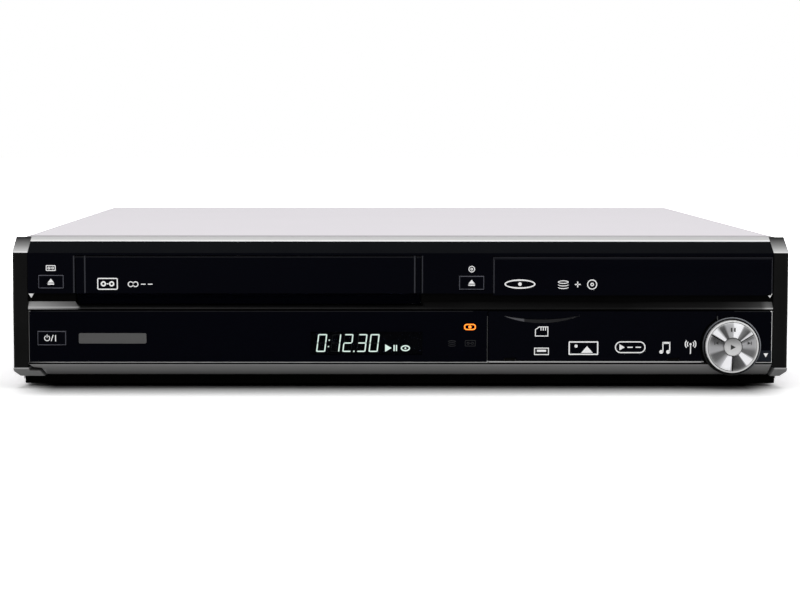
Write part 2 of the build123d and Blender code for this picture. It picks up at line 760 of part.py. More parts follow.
with BuildPart() as feet:
    for side in (-1, 1):
        for foot_t in (fascia_t + foot_inset_t, cover_back - foot_inset_t):
            post(side * (half_w - foot_inset_x), foot_t, foot_r, (0, foot_h))
    fillet(feet.faces().filter_by(Axis.Z).group_by(Axis.Z)[0].edges(), radius=0.7)
keep(feet, "feet")

# ======== rear panel and what comes through it ========
inlet_x = -tray_half + 26.0
inlet_z = 30.0
inlet_w = 15.6
inlet_h = 8.2
fan_x = inlet_x + 118.5
fan_z = 44.0
fan_size = 40.0
fan_depth = 10.0
scart_w = 47.0
scart_h = 17.0
scart_z = 28.0
aerial_x = tray_half - 28.5
scart_places = (aerial_x - 142.0, aerial_x - 86.0)
phono_x = (aerial_x - 46.0, aerial_x - 31.0)
phono_z = (22.0, 36.0, 50.0)
aerial_z = (24.0, 48.0)
aerial_r = 4.75
collar_w = 1.2
collar_proud = 0.5
hdmi_x = aerial_x - 32.0
hdmi_z = 66.0
hdmi_w = 15.0
hdmi_h = 5.4
with BuildPart() as rear_panel:
    block((-tray_half, tray_half), (floor_t1, panel_back), (floor_z, top_z - sheet - slip))
    block((inlet_x - 14, inlet_x + 14), (floor_t1 - 1, panel_back + 1), (inlet_z - 9, inlet_z + 9),
          Mode.SUBTRACT)
    for ring in range(3):
        outer = fan_size / 2 - 2.0 - ring * 6.0
        with BuildSketch(Plane.XZ.offset(-at(panel_back + 1))) as grille:
            with Locations((fan_x, fan_z)):
                Circle(outer)
                Circle(outer - 3.6, mode=Mode.SUBTRACT)
                for spoke in (45, 135):
                    Rectangle(fan_size, 2.4, rotation=spoke, mode=Mode.SUBTRACT)
        extrude(grille.sketch, amount=sheet + 2, mode=Mode.SUBTRACT)
    for scart_x in scart_places:
        block((scart_x - scart_w / 2 - 0.5, scart_x + scart_w / 2 + 0.5), (floor_t1 - 1, panel_back + 1),
              (scart_z - scart_h / 2 - 0.5, scart_z + scart_h / 2 + 0.5), Mode.SUBTRACT)
    for socket_x in phono_x:
        for place_z in phono_z:
            barrel(socket_x, place_z, jack_r + collar_w + slip, (floor_t1 - 1, panel_back + 1), Mode.SUBTRACT)
    for place_z in aerial_z:
        barrel(aerial_x, place_z, aerial_r + collar_w + slip, (floor_t1 - 1, panel_back + 1), Mode.SUBTRACT)
    block((hdmi_x - hdmi_w / 2 - slip, hdmi_x + hdmi_w / 2 + slip), (floor_t1 - 1, panel_back + 1),
          (hdmi_z - hdmi_h / 2 - slip, hdmi_z + hdmi_h / 2 + slip), Mode.SUBTRACT)
    for screw_x in rear_screw_x:
        barrel(screw_x, rear_screw_z, screw_shank_r + slip, (floor_t1 - 1, panel_back + 1), Mode.SUBTRACT)
    for i in range(9):
        vent_x = inlet_x + 30 + i * vent_pitch
        block((vent_x - vent_w / 2, vent_x + vent_w / 2), (floor_t1 - 1, panel_back + 1),
              (fan_z - 10, fan_z + 10), Mode.SUBTRACT)
keep(rear_panel, "rear_panel")

with BuildPart() as cover_screws:
    for screw_t in side_screw_t:
        for side in (-1, 1):
            head = sorted((side * cover_half, side * (cover_half + screw_head)))
            shank = sorted((side * (cover_half - 1.9), side * cover_half))
            axle(screw_t, side_screw_z, screw_r, head)
            axle(screw_t, side_screw_z, screw_shank_r, shank)
    for screw_x in rear_screw_x:
        barrel(screw_x, rear_screw_z, screw_r, (cover_back, cover_back + screw_head))
        barrel(screw_x, rear_screw_z, screw_shank_r, (floor_t1 - 1.5, cover_back))
keep(cover_screws, "cover_screws")

# The figure-of-eight mains socket; the photograph shows no lead.
with BuildPart() as mains_inlet:
    block((inlet_x - 13.6, inlet_x + 13.6), (floor_t1 - 15, panel_back + 1.2), (inlet_z - 8.6, inlet_z + 8.6))
    pin_places = (inlet_x - (inlet_w - inlet_h) / 2, inlet_x + (inlet_w - inlet_h) / 2)
    well_t = (panel_back - 11, panel_back + 2)
    for pin_x in pin_places:
        barrel(pin_x, inlet_z, inlet_h / 2, well_t, Mode.SUBTRACT)
    block(pin_places, well_t, (inlet_z - inlet_h / 2 + 1, inlet_z + inlet_h / 2 - 1), Mode.SUBTRACT)
    for pin_x in pin_places:
        barrel(pin_x, inlet_z, 1.2, (well_t[0], panel_back - 1))
keep(mains_inlet, "mains_inlet")

# The signal sockets on the back: two wide ones, phono sockets, aerial sockets and a small wide one.
wide_wall = 1.5
wide_deep = 9.0
with BuildPart() as rear_sockets:
    for scart_x in scart_places:
        block((scart_x - scart_w / 2, scart_x + scart_w / 2), (floor_t1 - 14, panel_back + 1.0),
              (scart_z - scart_h / 2, scart_z + scart_h / 2))
        mouth_x = (scart_x - scart_w / 2 + wide_wall, scart_x + scart_w / 2 - wide_wall)
        mouth_z = (scart_z - scart_h / 2 + wide_wall, scart_z + scart_h / 2 - wide_wall)
        block(mouth_x, (panel_back - wide_deep, panel_back + 2), mouth_z, Mode.SUBTRACT)
        block((mouth_x[0] + 3, mouth_x[1] - 3), (panel_back - wide_deep, panel_back - 1),
              (scart_z - 2, scart_z + 2))
    for socket_x in phono_x:
        block((socket_x - 5.5, socket_x + 5.5), (floor_t1 - 12, floor_t1), (phono_z[0] - 6, phono_z[-1] + 6))
        for place_z in phono_z:
            barrel(socket_x, place_z, jack_r + collar_w, (floor_t1, panel_back + collar_proud))
            barrel(socket_x, place_z, jack_r, (floor_t1, panel_back + jack_proud))
            barrel(socket_x, place_z, jack_bore, (floor_t1 - 4, panel_back + jack_proud + 1), Mode.SUBTRACT)
    block((aerial_x - 10, aerial_x + 10), (floor_t1 - 40, floor_t1), (aerial_z[0] - 10, aerial_z[1] + 10))
    for place_z in aerial_z:
        barrel(aerial_x, place_z, aerial_r + collar_w, (floor_t1, panel_back + collar_proud))
        barrel(aerial_x, place_z, aerial_r, (floor_t1, panel_back + jack_proud + sheet))
        barrel(aerial_x, place_z, 1.4, (panel_back - 2, panel_back + jack_proud + 2), Mode.SUBTRACT)
    block((hdmi_x - hdmi_w / 2, hdmi_x + hdmi_w / 2), (floor_t1 - 10, panel_back + 0.8),
          (hdmi_z - hdmi_h / 2, hdmi_z + hdmi_h / 2))
    block((hdmi_x - hdmi_w / 2 + 0.5, hdmi_x + hdmi_w / 2 - 0.5), (floor_t1 - 8, panel_back + 2),
          (hdmi_z - hdmi_h / 2 + 0.5, hdmi_z + hdmi_h / 2 - 0.5), Mode.SUBTRACT)
keep(rear_sockets, "rear_sockets")

# ======== fan ========
fan_t = (floor_t1 - fan_depth, floor_t1)
fan_bore_r = fan_size / 2 - 1.2
hub_r = 8.0
blade_r = fan_bore_r - 0.8
fan_pin_r = 1.5
with BuildPart() as fan_frame:
    block((fan_x - fan_size / 2, fan_x + fan_size / 2), fan_t, (fan_z - fan_size / 2, fan_z + fan_size / 2))
    barrel(fan_x, fan_z, fan_bore_r, (fan_t[0] - 1, fan_t[1] + 1), Mode.SUBTRACT)
    barrel(fan_x, fan_z, hub_r, (fan_t[0], fan_t[0] + 2))
    for strut in (0, 90, 180, 270):
        with Locations(Location((fan_x, at(fan_t[0] + 1), fan_z), (0, strut, 0))):
            Box(fan_bore_r + 0.5, 2, 2.2, align=(Align.MIN, Align.CENTER, Align.CENTER))
    barrel(fan_x, fan_z, fan_pin_r, (fan_t[0] + 2, fan_t[1] - 2))
keep(fan_frame, "fan_frame")

with BuildPart() as fan_rotor:
    barrel(fan_x, fan_z, hub_r, (fan_t[0] + 2.4, fan_t[1] - 1))
    for blade in range(7):
        lean = Location((fan_x, at((fan_t[0] + fan_t[1]) / 2 + 0.7), fan_z), (0, blade * 360 / 7, 0))
        with Locations(lean * Location((0, 0, 0), (35, 0, 0))):
            Box(blade_r, 1.0, 7.0, align=(Align.MIN, Align.CENTER, Align.CENTER))
    barrel(fan_x, fan_z, blade_r, (fan_t[0] + 2.4, fan_t[1] - 1), Mode.INTERSECT)
    barrel(fan_x, fan_z, fan_pin_r + pin_play, (fan_t[0] + 1, fan_t[1] - 1.8), Mode.SUBTRACT)
keep(fan_rotor, "fan_rotor")

# ======== cassette deck ========
# The sheet that carries the deck, on four legs, with the posts and bearings of its parts.
deck_top = deck_z + deck_sheet
holder_x = (tape_x - cassette_w / 2 - cassette_play, tape_x + cassette_w / 2 + cassette_play)
wall = 1.0
slide_x = (holder_x[0] - wall - slide_play, holder_x[1] + wall + slide_play)
side_x = (slide_x[0] - slide_w - slide_play, slide_x[1] + slide_w + slide_play)
side_w = 1.5
cassette_z0 = tape_z0 + 0.7
cassette_z1 = cassette_z0 + cassette_h + 0.2
holder_t = (deck_t0, deck_t0 + cassette_l)
drum_t = deck_t0 + cassette_l + load_travel + drum_r + 2
drum_base_z = deck_top
shaft_r = 3.0
reel_t = deck_t0 + load_travel + cassette_l / 2 + 3
reel_x = (tape_x - reel_span / 2, tape_x + reel_span / 2)
reel_pin_r = 2.0
reel_foot = 1.5
capstan_x = tape_x + 62.5
capstan_t = drum_t - 26.0
bearing_r = 7.0
tape_guide_h = 30.0
bearing_h = 4.0
arm_x = capstan_x + 20.0
arm_t = capstan_t + 12.0
arm_pin_r = 2.5
arm_z = (deck_top + 18.0, deck_top + 21.0)
clutch_x = tape_x
clutch_t = reel_t
belt_pulley_r = 8.0
clutch_r = 14.0
belt_w = 1.2
belt_gap = 0.3
belt_z = (deck_z - 4.0, deck_z - 1.8)

drum_lean = Location((tape_x, at(drum_t), drum_base_z), (0, drum_tilt, 0))


def lean_drum(r, z, mode=Mode.ADD):
    """A round bar on the leaning axis of the drum."""
    with Locations(drum_lean * Location((0, 0, (z[0] + z[1]) / 2))):
        Cylinder(r, z[1] - z[0], mode=mode)


with BuildPart() as deck_chassis:
    block((side_x[0] - side_w, side_x[1] + side_w), (deck_t0, deck_t1), (deck_z, deck_top))
    for leg_x in (side_x[0] + 5, side_x[1] - 5):
        for leg_t in (deck_t0 + 6, deck_t1 - 6):
            post(leg_x, leg_t, 3.5, (floor_z, deck_z))
    post(capstan_x, capstan_t, bearing_r, (deck_top, deck_top + bearing_h))
    post(capstan_x, capstan_t, capstan_r + pin_play, (deck_z - 1, deck_top + bearing_h + 1), Mode.SUBTRACT)
    for place_x in reel_x:
        post(place_x, reel_t, 4.0, (deck_top, deck_top + reel_foot))
        post(place_x, reel_t, reel_pin_r, (deck_top + reel_foot, deck_top + 13))
    post(arm_x, arm_t, 4.0, (deck_top, arm_z[0] - 0.2))
    post(arm_x, arm_t, arm_pin_r, (arm_z[0] - 0.2, arm_z[1] + 1))
    for guide in (-1, 1):
        post(tape_x + guide * (drum_r + 14), drum_t + 6, 3.0, (deck_top, deck_top + tape_guide_h))
    post(clutch_x, clutch_t, reel_pin_r, (deck_z - 9, deck_z))
keep(deck_chassis, "deck_chassis")

# The two side plates, each with a long slot for the carriage's guide pins.
slot_z = cassette_z0 + 18.5
guide_pin_r = 1.8
guide_play = 0.1
guide_ts = (deck_t0 + 20, deck_t0 + 80)
with BuildPart() as deck_sides:
    for plate_x in ((side_x[0] - side_w, side_x[0]), (side_x[1], side_x[1] + side_w)):
        block(plate_x, (deck_t0, deck_t1 - 30), (deck_top, cassette_z1 + 2))
        slot_half = guide_pin_r + guide_play
        block((plate_x[0] - 1, plate_x[1] + 1),
              (guide_ts[0] - slot_half, guide_ts[1] + load_travel + slot_half),
              (slot_z - slot_half, slot_z + slot_half), Mode.SUBTRACT)
keep(deck_sides, "deck_sides")

# The carriage slides back on its pins; the holder inside it sinks on pins of its own.
drop_pin_r = 1.5
drop_ts = (deck_t0 + 35, deck_t0 + 66)
drop_z = cassette_z0 + 13.0
bridge_z = (cassette_z1 + wall + 1.0, cassette_z1 + wall + 2.5)
with BuildPart() as cassette_carriage:
    for plate_x in ((slide_x[0] - slide_w, slide_x[0]), (slide_x[1], slide_x[1] + slide_w)):
        block(plate_x, (deck_t0 + 12, deck_t0 + 92), (cassette_z0 - 3, bridge_z[1]))
        for pin_t in drop_ts:
            drop_half = drop_pin_r + guide_play
            block((plate_x[0] - 1, plate_x[1] + 1), (pin_t - drop_half, pin_t + drop_half),
                  (drop_z - drop_travel - drop_half, drop_z + drop_half), Mode.SUBTRACT)
    block((slide_x[0] - slide_w, slide_x[1] + slide_w), (deck_t0 + 42, deck_t0 + 60), bridge_z)
    for guide_t in guide_ts:
        axle(guide_t, slot_z, guide_pin_r, (slide_x[0] - slide_w - slide_play - side_w, slide_x[0] - slide_w))
        axle(guide_t, slot_z, guide_pin_r, (slide_x[1] + slide_w, slide_x[1] + slide_w + slide_play + side_w))
keep(cassette_carriage, "cassette_carriage")

ledge = 14.0
with BuildPart() as cassette_holder:
    block((holder_x[0] - wall, holder_x[1] + wall), holder_t, (cassette_z0 - wall, cassette_z1 + wall))
    block(holder_x, (holder_t[0] - 1, holder_t[1] + 1), (cassette_z0, cassette_z1), Mode.SUBTRACT)
    block((holder_x[0] + ledge, holder_x[1] - ledge), (holder_t[0] - 1, holder_t[1] + 1),
          (cassette_z0 - wall - 1, cassette_z0 + 1), Mode.SUBTRACT)
    for pin_t in drop_ts:
        axle(pin_t, drop_z, drop_pin_r, (holder_x[0] - wall - slide_play - slide_w, holder_x[0] - wall))
        axle(pin_t, drop_z, drop_pin_r, (holder_x[1] + wall, holder_x[1] + wall + slide_play + slide_w))
keep(cassette_holder, "cassette_holder")

# The head drum leans; its lower half is fixed and its upper half spins on the shaft.
with BuildPart() as lower_drum:
    lean_drum(drum_r, (4.0, 17.0))
    lean_drum(shaft_r, (16.0, 30.0))
    post(tape_x, drum_t, drum_r - 6, (deck_top, deck_top + 7.5))
keep(lower_drum, "lower_drum")

with BuildPart() as head_drum:
    lean_drum(drum_r, (17.4, 17.4 + drum_h))
    lean_drum(drum_r - 9, (17.4 + drum_h - 1.5, 17.4 + drum_h + 1), Mode.SUBTRACT)
    lean_drum(shaft_r + pin_play, (16, 30.4), Mode.SUBTRACT)
keep(head_drum, "head_drum")

with BuildPart() as capstan:
    post(capstan_x, capstan_t, capstan_r, (deck_z - 13, deck_top + 30))
    post(capstan_x, capstan_t, flywheel_r, (deck_z - 13, deck_z - 5))
    post(capstan_x, capstan_t, belt_pulley_r, (deck_z - 5, deck_z - 1.4))
keep(capstan, "capstan")

with BuildPart() as reel_clutch:
    post(clutch_x, clutch_t, clutch_r, (deck_z - 5, deck_z - 1.4))
    post(clutch_x, clutch_t, clutch_r - 5, (deck_z - 8, deck_z - 5))
    post(clutch_x, clutch_t, reel_pin_r + pin_play, (deck_z - 8.2, deck_z), Mode.SUBTRACT)
keep(reel_clutch, "reel_clutch")

# The flat drive belt runs just clear of both pulleys.
with BuildPart() as reel_belt:
    for extra, mode in ((belt_gap + belt_w, Mode.ADD), (belt_gap, Mode.SUBTRACT)):
        with BuildSketch(Plane.XY.offset(belt_z[0])) as loop:
            with Locations((capstan_x, at(capstan_t))):
                Circle(belt_pulley_r + extra)
            with Locations((clutch_x, at(clutch_t))):
                Circle(clutch_r + extra)
            make_hull()
        extrude(loop.sketch, amount=belt_z[1] - belt_z[0], mode=mode)
keep(reel_belt, "reel_belt")

for reel_name, place_x in zip(("supply_reel", "takeup_reel"), reel_x):
    with BuildPart() as reel:
        reel_z0 = deck_top + reel_foot + 0.2
        post(place_x, reel_t, reel_r, (reel_z0, reel_z0 + 4))
        post(place_x, reel_t, 9.0, (reel_z0 + 4, reel_z0 + 6))
        post(place_x, reel_t, 5.0, (reel_z0 + 6, reel_z0 + 13))
        for fin in (0, 120, 240):
            with Locations(Location((place_x, at(reel_t), reel_z0 + 9), (0, 0, fin))):
                Box(7.0, 1.6, 7.0, align=(Align.MIN, Align.CENTER, Align.CENTER))
        post(place_x, reel_t, reel_pin_r + pin_play, (reel_z0 - 1, reel_z0 + 12.2), Mode.SUBTRACT)
    keep(reel, reel_name)

# The pinch arm swings its rubber roller up to the capstan.
press_turn = math.radians(-20)
press_gap = capstan_r + pinch_r + belt_gap
press = (capstan_x + press_gap * math.cos(press_turn), capstan_t + press_gap * math.sin(press_turn))
arm_len = math.dist(press, (arm_x, arm_t))
press_angle = math.atan2(press[1] - arm_t, press[0] - arm_x)
rest_angle = press_angle + math.radians(pinch_swing)
roller_x = arm_x + arm_len * math.cos(rest_angle)
roller_t = arm_t + arm_len * math.sin(rest_angle)
roller_pin_r = 1.2
roller_z = (deck_top + bearing_h + 2.0, arm_z[0] - 0.4)
with BuildPart() as pinch_arm:
    with BuildSketch(Plane.XY.offset(arm_z[0])) as arm_shape:
        with Locations((arm_x, at(arm_t))):
            Circle(5.0)
        with Locations((roller_x, at(roller_t))):
            Circle(3.0)
        make_hull()
        with Locations((arm_x, at(arm_t))):
            Circle(arm_pin_r + pin_play, mode=Mode.SUBTRACT)
    extrude(arm_shape.sketch, amount=arm_z[1] - arm_z[0])
    post(roller_x, roller_t, roller_pin_r, (roller_z[0] - 1.4, arm_z[0]))
    post(roller_x, roller_t, roller_pin_r + 1.3, (roller_z[0] - 1.4, roller_z[0] - 0.3))
keep(pinch_arm, "pinch_arm")

with BuildPart() as pinch_roller:
    post(roller_x, roller_t, pinch_r, roller_z)
    post(roller_x, roller_t, roller_pin_r + pin_play, (roller_z[0] - 1, roller_z[1] + 1), Mode.SUBTRACT)
keep(pinch_roller, "pinch_roller")

# The motor that loads the tape, lying at the back of the deck.
motor_r = 11.0
motor_x = (side_x[0] + 6.0, side_x[0] + 38.0)
motor_t = deck_t1 - 14.0
with BuildPart() as loading_motor:
    axle(motor_t, deck_top + motor_r, motor_r, motor_x)
    axle(motor_t, deck_top + motor_r, 2.6, (motor_x[1], motor_x[1] + 16))
    block((motor_x[0] + 4, motor_x[1] - 4), (motor_t - 8, motor_t + 8), (deck_top, deck_top + 3))
keep(loading_motor, "loading_motor")

# ======== disc drive ========
# The drive's shell: a floor, two sides with ledges that guide the tray, a back and a bridge.
drive_floor = drive_z0 + drive_wall
drive_z1 = drive_z0 + drive_h
guide_gap = 0.15
guide_w = 3.5
ledge_h = 1.5
bridge_t = (spindle_in - 16.0, spindle_in + 16.0)
bridge_low = tray_z + tray_h + 7.0
gear_pin_r = 2.0
tooth_pitch = math.pi * gear_module
tip = 0.9 * gear_module
root = 1.1 * gear_module
half_tooth = 0.6 * gear_module
flank = math.tan(math.radians(20))
rack_x = tray_x - tray_w / 2 + 12.0
gear_x = rack_x + gear_r
rack_z = (tray_z - 4.0, tray_z)
gear_z = (tray_z - 4.6, tray_z - 0.6)
traverse_x = (tray_x - 28.7, tray_x + 28.7)
sled_in = 16.0
window_t = (spindle_in + sled_in - 1.0, spindle_in + sled_in + sled_len + sled_travel + 1.0)
traverse_t = (spindle_in - 20.0, window_t[1] + 8.0)
traverse_z = (drive_z0 + 5.7, drive_z0 + 9.2)
rod_z = sum(traverse_z) / 2
hinge_pin_r = 1.6
with BuildPart() as drive_frame:
    block(drive_x, (drive_t0, drive_t1), (drive_z0, drive_z1))
    block((drive_x[0] + drive_wall, drive_x[1] - drive_wall), (drive_t0 - 1, drive_t1 - drive_wall),
          (drive_floor, drive_z1 + 1), Mode.SUBTRACT)
    for side in (0, 1):
        inner = drive_x[side] + (1 - 2 * side) * drive_wall
        edge = sorted((inner, inner + (1 - 2 * side) * guide_w))
        block(edge, (drive_t0, drive_t1 - drive_wall), (tray_z - guide_gap - ledge_h, tray_z - guide_gap))
        block(edge, (drive_t0, drive_t1 - drive_wall),
              (tray_z + tray_h + guide_gap, tray_z + tray_h + guide_gap + ledge_h))
        leg = sorted((drive_x[side], inner))
        for leg_t in (drive_t0 + 26, drive_t1 - 20):
            block(leg, (leg_t, leg_t + 12), (floor_z, drive_z0))
    block((drive_x[0] + drive_wall, drive_x[1] - drive_wall), bridge_t, (bridge_low, bridge_low + 1.5))
    post(tray_x, spindle_in, 10.0, (bridge_low - 1, bridge_low + 3), Mode.SUBTRACT)
    post(gear_x, gear_t, 5.0, (drive_floor, gear_z[0] - 0.2))
    post(gear_x, gear_t, gear_pin_r, (gear_z[0] - 0.2, gear_z[1] + 0.2))
    for low_x in (traverse_x[0] - 4, traverse_x[1] + 1.0):
        block((low_x, low_x + 3), (traverse_t[1] - 4, traverse_t[1] + 4), (drive_floor, rod_z + 3.5))
        axle(traverse_t[1], rod_z, hinge_pin_r + pin_play, (low_x - 1, low_x + 4), Mode.SUBTRACT)
keep(drive_frame, "drive_frame")

# The clamp that floats in the bridge and would hold the disc.
with BuildPart() as disc_clamper:
    post(tray_x, spindle_in, 14.0, (bridge_low - 3.2, bridge_low - 0.8))
    post(tray_x, spindle_in, 9.2, (bridge_low - 0.8, bridge_low + 1.6))
    post(tray_x, spindle_in, 13.0, (bridge_low + 1.6, bridge_low + 3.4))
keep(disc_clamper, "disc_clamper")

# The rack under the tray and its gear share a pitch line; the teeth are thin, so they run free.
tray_lip = 1.5
with BuildPart() as disc_tray:
    block((tray_x - tray_w / 2, tray_x + tray_w / 2), tray_t, (tray_z, tray_z + tray_h))
    fillet(disc_tray.edges().filter_by(Axis.Z).group_by(Axis.Y)[-1], radius=3.0)
    post(tray_x, spindle_in, disc_r, (tray_z + tray_h - tray_lip, tray_z + tray_h + 1), Mode.SUBTRACT)
    post(tray_x, spindle_in, disc_small_r, (tray_z + tray_h - 2 * tray_lip, tray_z + tray_h + 1),
         Mode.SUBTRACT)
    through_z = (tray_z - 1, tray_z + tray_h + 1)
    post(tray_x, spindle_in, slot_w / 2, through_z, Mode.SUBTRACT)
    block((tray_x - slot_w / 2, tray_x + slot_w / 2), (spindle_in, tray_t[1] + 1), through_z, Mode.SUBTRACT)
    block((rack_x - 4, rack_x - root), (gear_t - gear_r, rack_t1), rack_z)
    first = gear_t - tooth_pitch * 2.5
    teeth = int((rack_t1 - 2 - first) / tooth_pitch)
    with BuildSketch(Plane.XY.offset(rack_z[0])) as rack_teeth:
        for i in range(teeth):
            middle = at(first + i * tooth_pitch)
            wide = half_tooth + (root + 0.1) * flank
            narrow = half_tooth - tip * flank
            Polygon(
                (rack_x - root - 0.1, middle - wide),
                (rack_x + tip, middle - narrow),
                (rack_x + tip, middle + narrow),
                (rack_x - root - 0.1, middle + wide),
                align=None,
            )
    extrude(rack_teeth.sketch, amount=rack_z[1] - rack_z[0])
keep(disc_tray, "disc_tray")

# The tray's front, with a long bevel along its top edge.
tray_face_z = (upper_z0 - 1.0, tape_z1 - part_gap * 4)
with BuildPart() as tray_front:
    run(
        [
            (0, tray_face_z[0]),
            (0, tray_face_z[1] - 1.8),
            (0.9, tray_face_z[1]),
            (tray_front_t, tray_face_z[1]),
            (tray_front_t, tray_face_z[0]),
        ],
        (tray_x0 + part_gap, tray_x1 - part_gap),
    )
    ends = tray_front.edges().filter_by(Axis.Z).group_by(Axis.Y)[0]
    chamfer(ends, length=0.8)
keep(tray_front, "tray_front")

with BuildPart() as tray_gear:
    with BuildSketch(Plane((gear_x, at(gear_t), gear_z[0]))) as gear_teeth_shape:
        Circle(gear_r - root)
        with PolarLocations(0, gear_teeth, start_angle=180):
            Polygon(
                (gear_r - root - 0.4, -half_tooth - root * flank),
                (gear_r + tip, tip * flank - half_tooth),
                (gear_r + tip, half_tooth - tip * flank),
                (gear_r - root - 0.4, half_tooth + root * flank),
                align=None,
            )
        Circle(gear_pin_r + pin_play, mode=Mode.SUBTRACT)
    extrude(gear_teeth_shape.sketch, amount=gear_z[1] - gear_z[0])
keep(tray_gear, "tray_gear")

# The traverse lifts at its front end; it carries the turntable and the sled on two rods.
window_x = (tray_x - 22.5, tray_x + 22.5)
rod_x = (window_x[0] + 3.5, window_x[1] - 3.5)
sled_rod_r = 1.25
with BuildPart() as traverse:
    block(traverse_x, traverse_t, traverse_z)
    block(window_x, window_t, (traverse_z[0] - 1, traverse_z[1] + 1), Mode.SUBTRACT)
    axle(traverse_t[1], rod_z, hinge_pin_r, (traverse_x[0] - 4, traverse_x[1] + 4))
    post(tray_x, spindle_in, 12.0, (drive_floor + 0.8, traverse_z[0]))
    post(tray_x, spindle_in, 1.5, (traverse_z[1], traverse_z[1] + 5))
    for place_x in rod_x:
        barrel(place_x, rod_z, sled_rod_r, window_t)
keep(traverse, "traverse")

with BuildPart() as turntable:
    post(tray_x, spindle_in, 13.5, (traverse_z[1] + 0.3, traverse_z[1] + 2.3))
    post(tray_x, spindle_in, 7.4, (traverse_z[1] + 2.3, traverse_z[1] + 5.0))
    post(tray_x, spindle_in, 1.5 + pin_play, (traverse_z[1] - 1, traverse_z[1] + 6), Mode.SUBTRACT)
keep(turntable, "turntable")

sled_t = (spindle_in + sled_in, spindle_in + sled_in + sled_len)
with BuildPart() as laser_sled:
    block((window_x[0] + 0.5, window_x[1] - 0.5), sled_t, (traverse_z[0] - 0.5, traverse_z[1] + 1.0))
    for place_x in rod_x:
        barrel(place_x, rod_z, sled_rod_r + pin_play, (sled_t[0] - 1, sled_t[1] + 1), Mode.SUBTRACT)
    post(tray_x, sled_t[0] + 8, 3.4, (traverse_z[1] + 1.0, traverse_z[1] + 2.6))
keep(laser_sled, "laser_sled")

# ======== hard drive, boards and the flat cable ========
hdd_w = 101.6
hdd_l = 147.0
hdd_h = 26.1
hdd_x = (tray_x - hdd_w / 2, tray_x + hdd_w / 2)
hdd_t = (62.0, 62.0 + hdd_l)
hdd_z = (floor_z + 5.5, floor_z + 5.5 + hdd_h)
with BuildPart() as hard_drive:
    block(hdd_x, hdd_t, hdd_z)
    fillet(hard_drive.edges().filter_by(Axis.Z), radius=3.0)
    block((hdd_x[0] + 6, hdd_x[1] - 6), (hdd_t[0] + 6, hdd_t[1] - 26), (hdd_z[1] - 1.0, hdd_z[1] + 1),
          Mode.SUBTRACT)
keep(hard_drive, "hard_drive")

with BuildPart() as drive_bracket:
    block((hdd_x[0] - 4, hdd_x[1] + 4), (hdd_t[0] + 8, hdd_t[1] - 8), (hdd_z[0] - 1.2, hdd_z[0]))
    for leg_x in (hdd_x[0] - 2, hdd_x[1] + 2):
        for leg_t in (hdd_t[0] + 14, hdd_t[1] - 14):
            post(leg_x, leg_t, 2.0, (floor_z, hdd_z[0] - 1.2))
keep(drive_bracket, "drive_bracket")

stand_h = 7.0
pcb = 1.6
pcb_z = (floor_z + stand_h, floor_z + stand_h + pcb)
main_x = (side_x[1] + side_w + 5, tray_half - 4)
main_t = (hdd_t[1] + board_room, floor_t1 - board_back)
with BuildPart() as main_board:
    block(main_x, main_t, pcb_z)
    for stand_x in (main_x[0] + 5, main_x[1] - 5):
        for stand_t in (main_t[0] + 5, main_t[1] - 5):
            post(stand_x, stand_t, 2.5, (floor_z, pcb_z[0]))
    for chip_x, chip_t, chip_w in ((60, 30, 28), (100, 34, 22), (130, 26, 16), (40, 60, 14), (76, 62, 16)):
        low_x = main_x[0] + chip_x - chip_w / 2
        low_t = main_t[0] + chip_t - chip_w / 2
        block((low_x, low_x + chip_w), (low_t, low_t + chip_w), (pcb_z[1], pcb_z[1] + 2.4))
keep(main_board, "main_board")

power_xs = (-tray_half + 5, side_x[1] - 20)
power_t = (deck_t1 + board_room, floor_t1 - board_back)
cap_r = 8.0
with BuildPart() as power_board:
    block(power_xs, power_t, pcb_z)
    for stand_x in (power_xs[0] + 5, power_xs[1] - 5):
        for stand_t in (power_t[0] + 5, power_t[1] - 5):
            post(stand_x, stand_t, 2.5, (floor_z, pcb_z[0]))
    block((power_xs[0] + 60, power_xs[0] + 92), (power_t[0] + 12, power_t[0] + 40), (pcb_z[1], pcb_z[1] + 26))
    for i in range(3):
        post(power_xs[0] + 14 + i * 20, power_t[0] + 14, cap_r, (pcb_z[1], pcb_z[1] + 24))
    block((power_xs[0] + 8, power_xs[0] + 50), (power_t[0] + 34, power_t[0] + 37), (pcb_z[1], pcb_z[1] + 32))
keep(power_board, "power_board")

ribbon_x = ((side_x[1] + side_w + drive_x[0]) / 2 - 8, (side_x[1] + side_w + drive_x[0]) / 2 + 8)
ribbon = 0.8
ribbon_z = board_z1 - 12
with BuildPart() as ribbon_cable:
    front_end = board_t1
    back_end = main_t[0] + 12
    run([(front_end, ribbon_z), (front_end, ribbon_z - ribbon), (back_end - ribbon, ribbon_z - ribbon),
         (back_end - ribbon, pcb_z[1]), (back_end, pcb_z[1]), (back_end, ribbon_z)], ribbon_x)
    corner = ribbon_cable.edges().filter_by(Axis.X).sort_by(Axis.Z)[-2:].sort_by(Axis.Y)[-1]
    fillet(corner, radius=0.7)
keep(ribbon_cable, "ribbon_cable")

os.makedirs("parts", exist_ok=True)
for name, piece in pieces.items():
    export_step(piece, f"parts/{name}.step")
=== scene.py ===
import json
import math

import bmesh
import bpy
from mathutils import Matrix, Vector


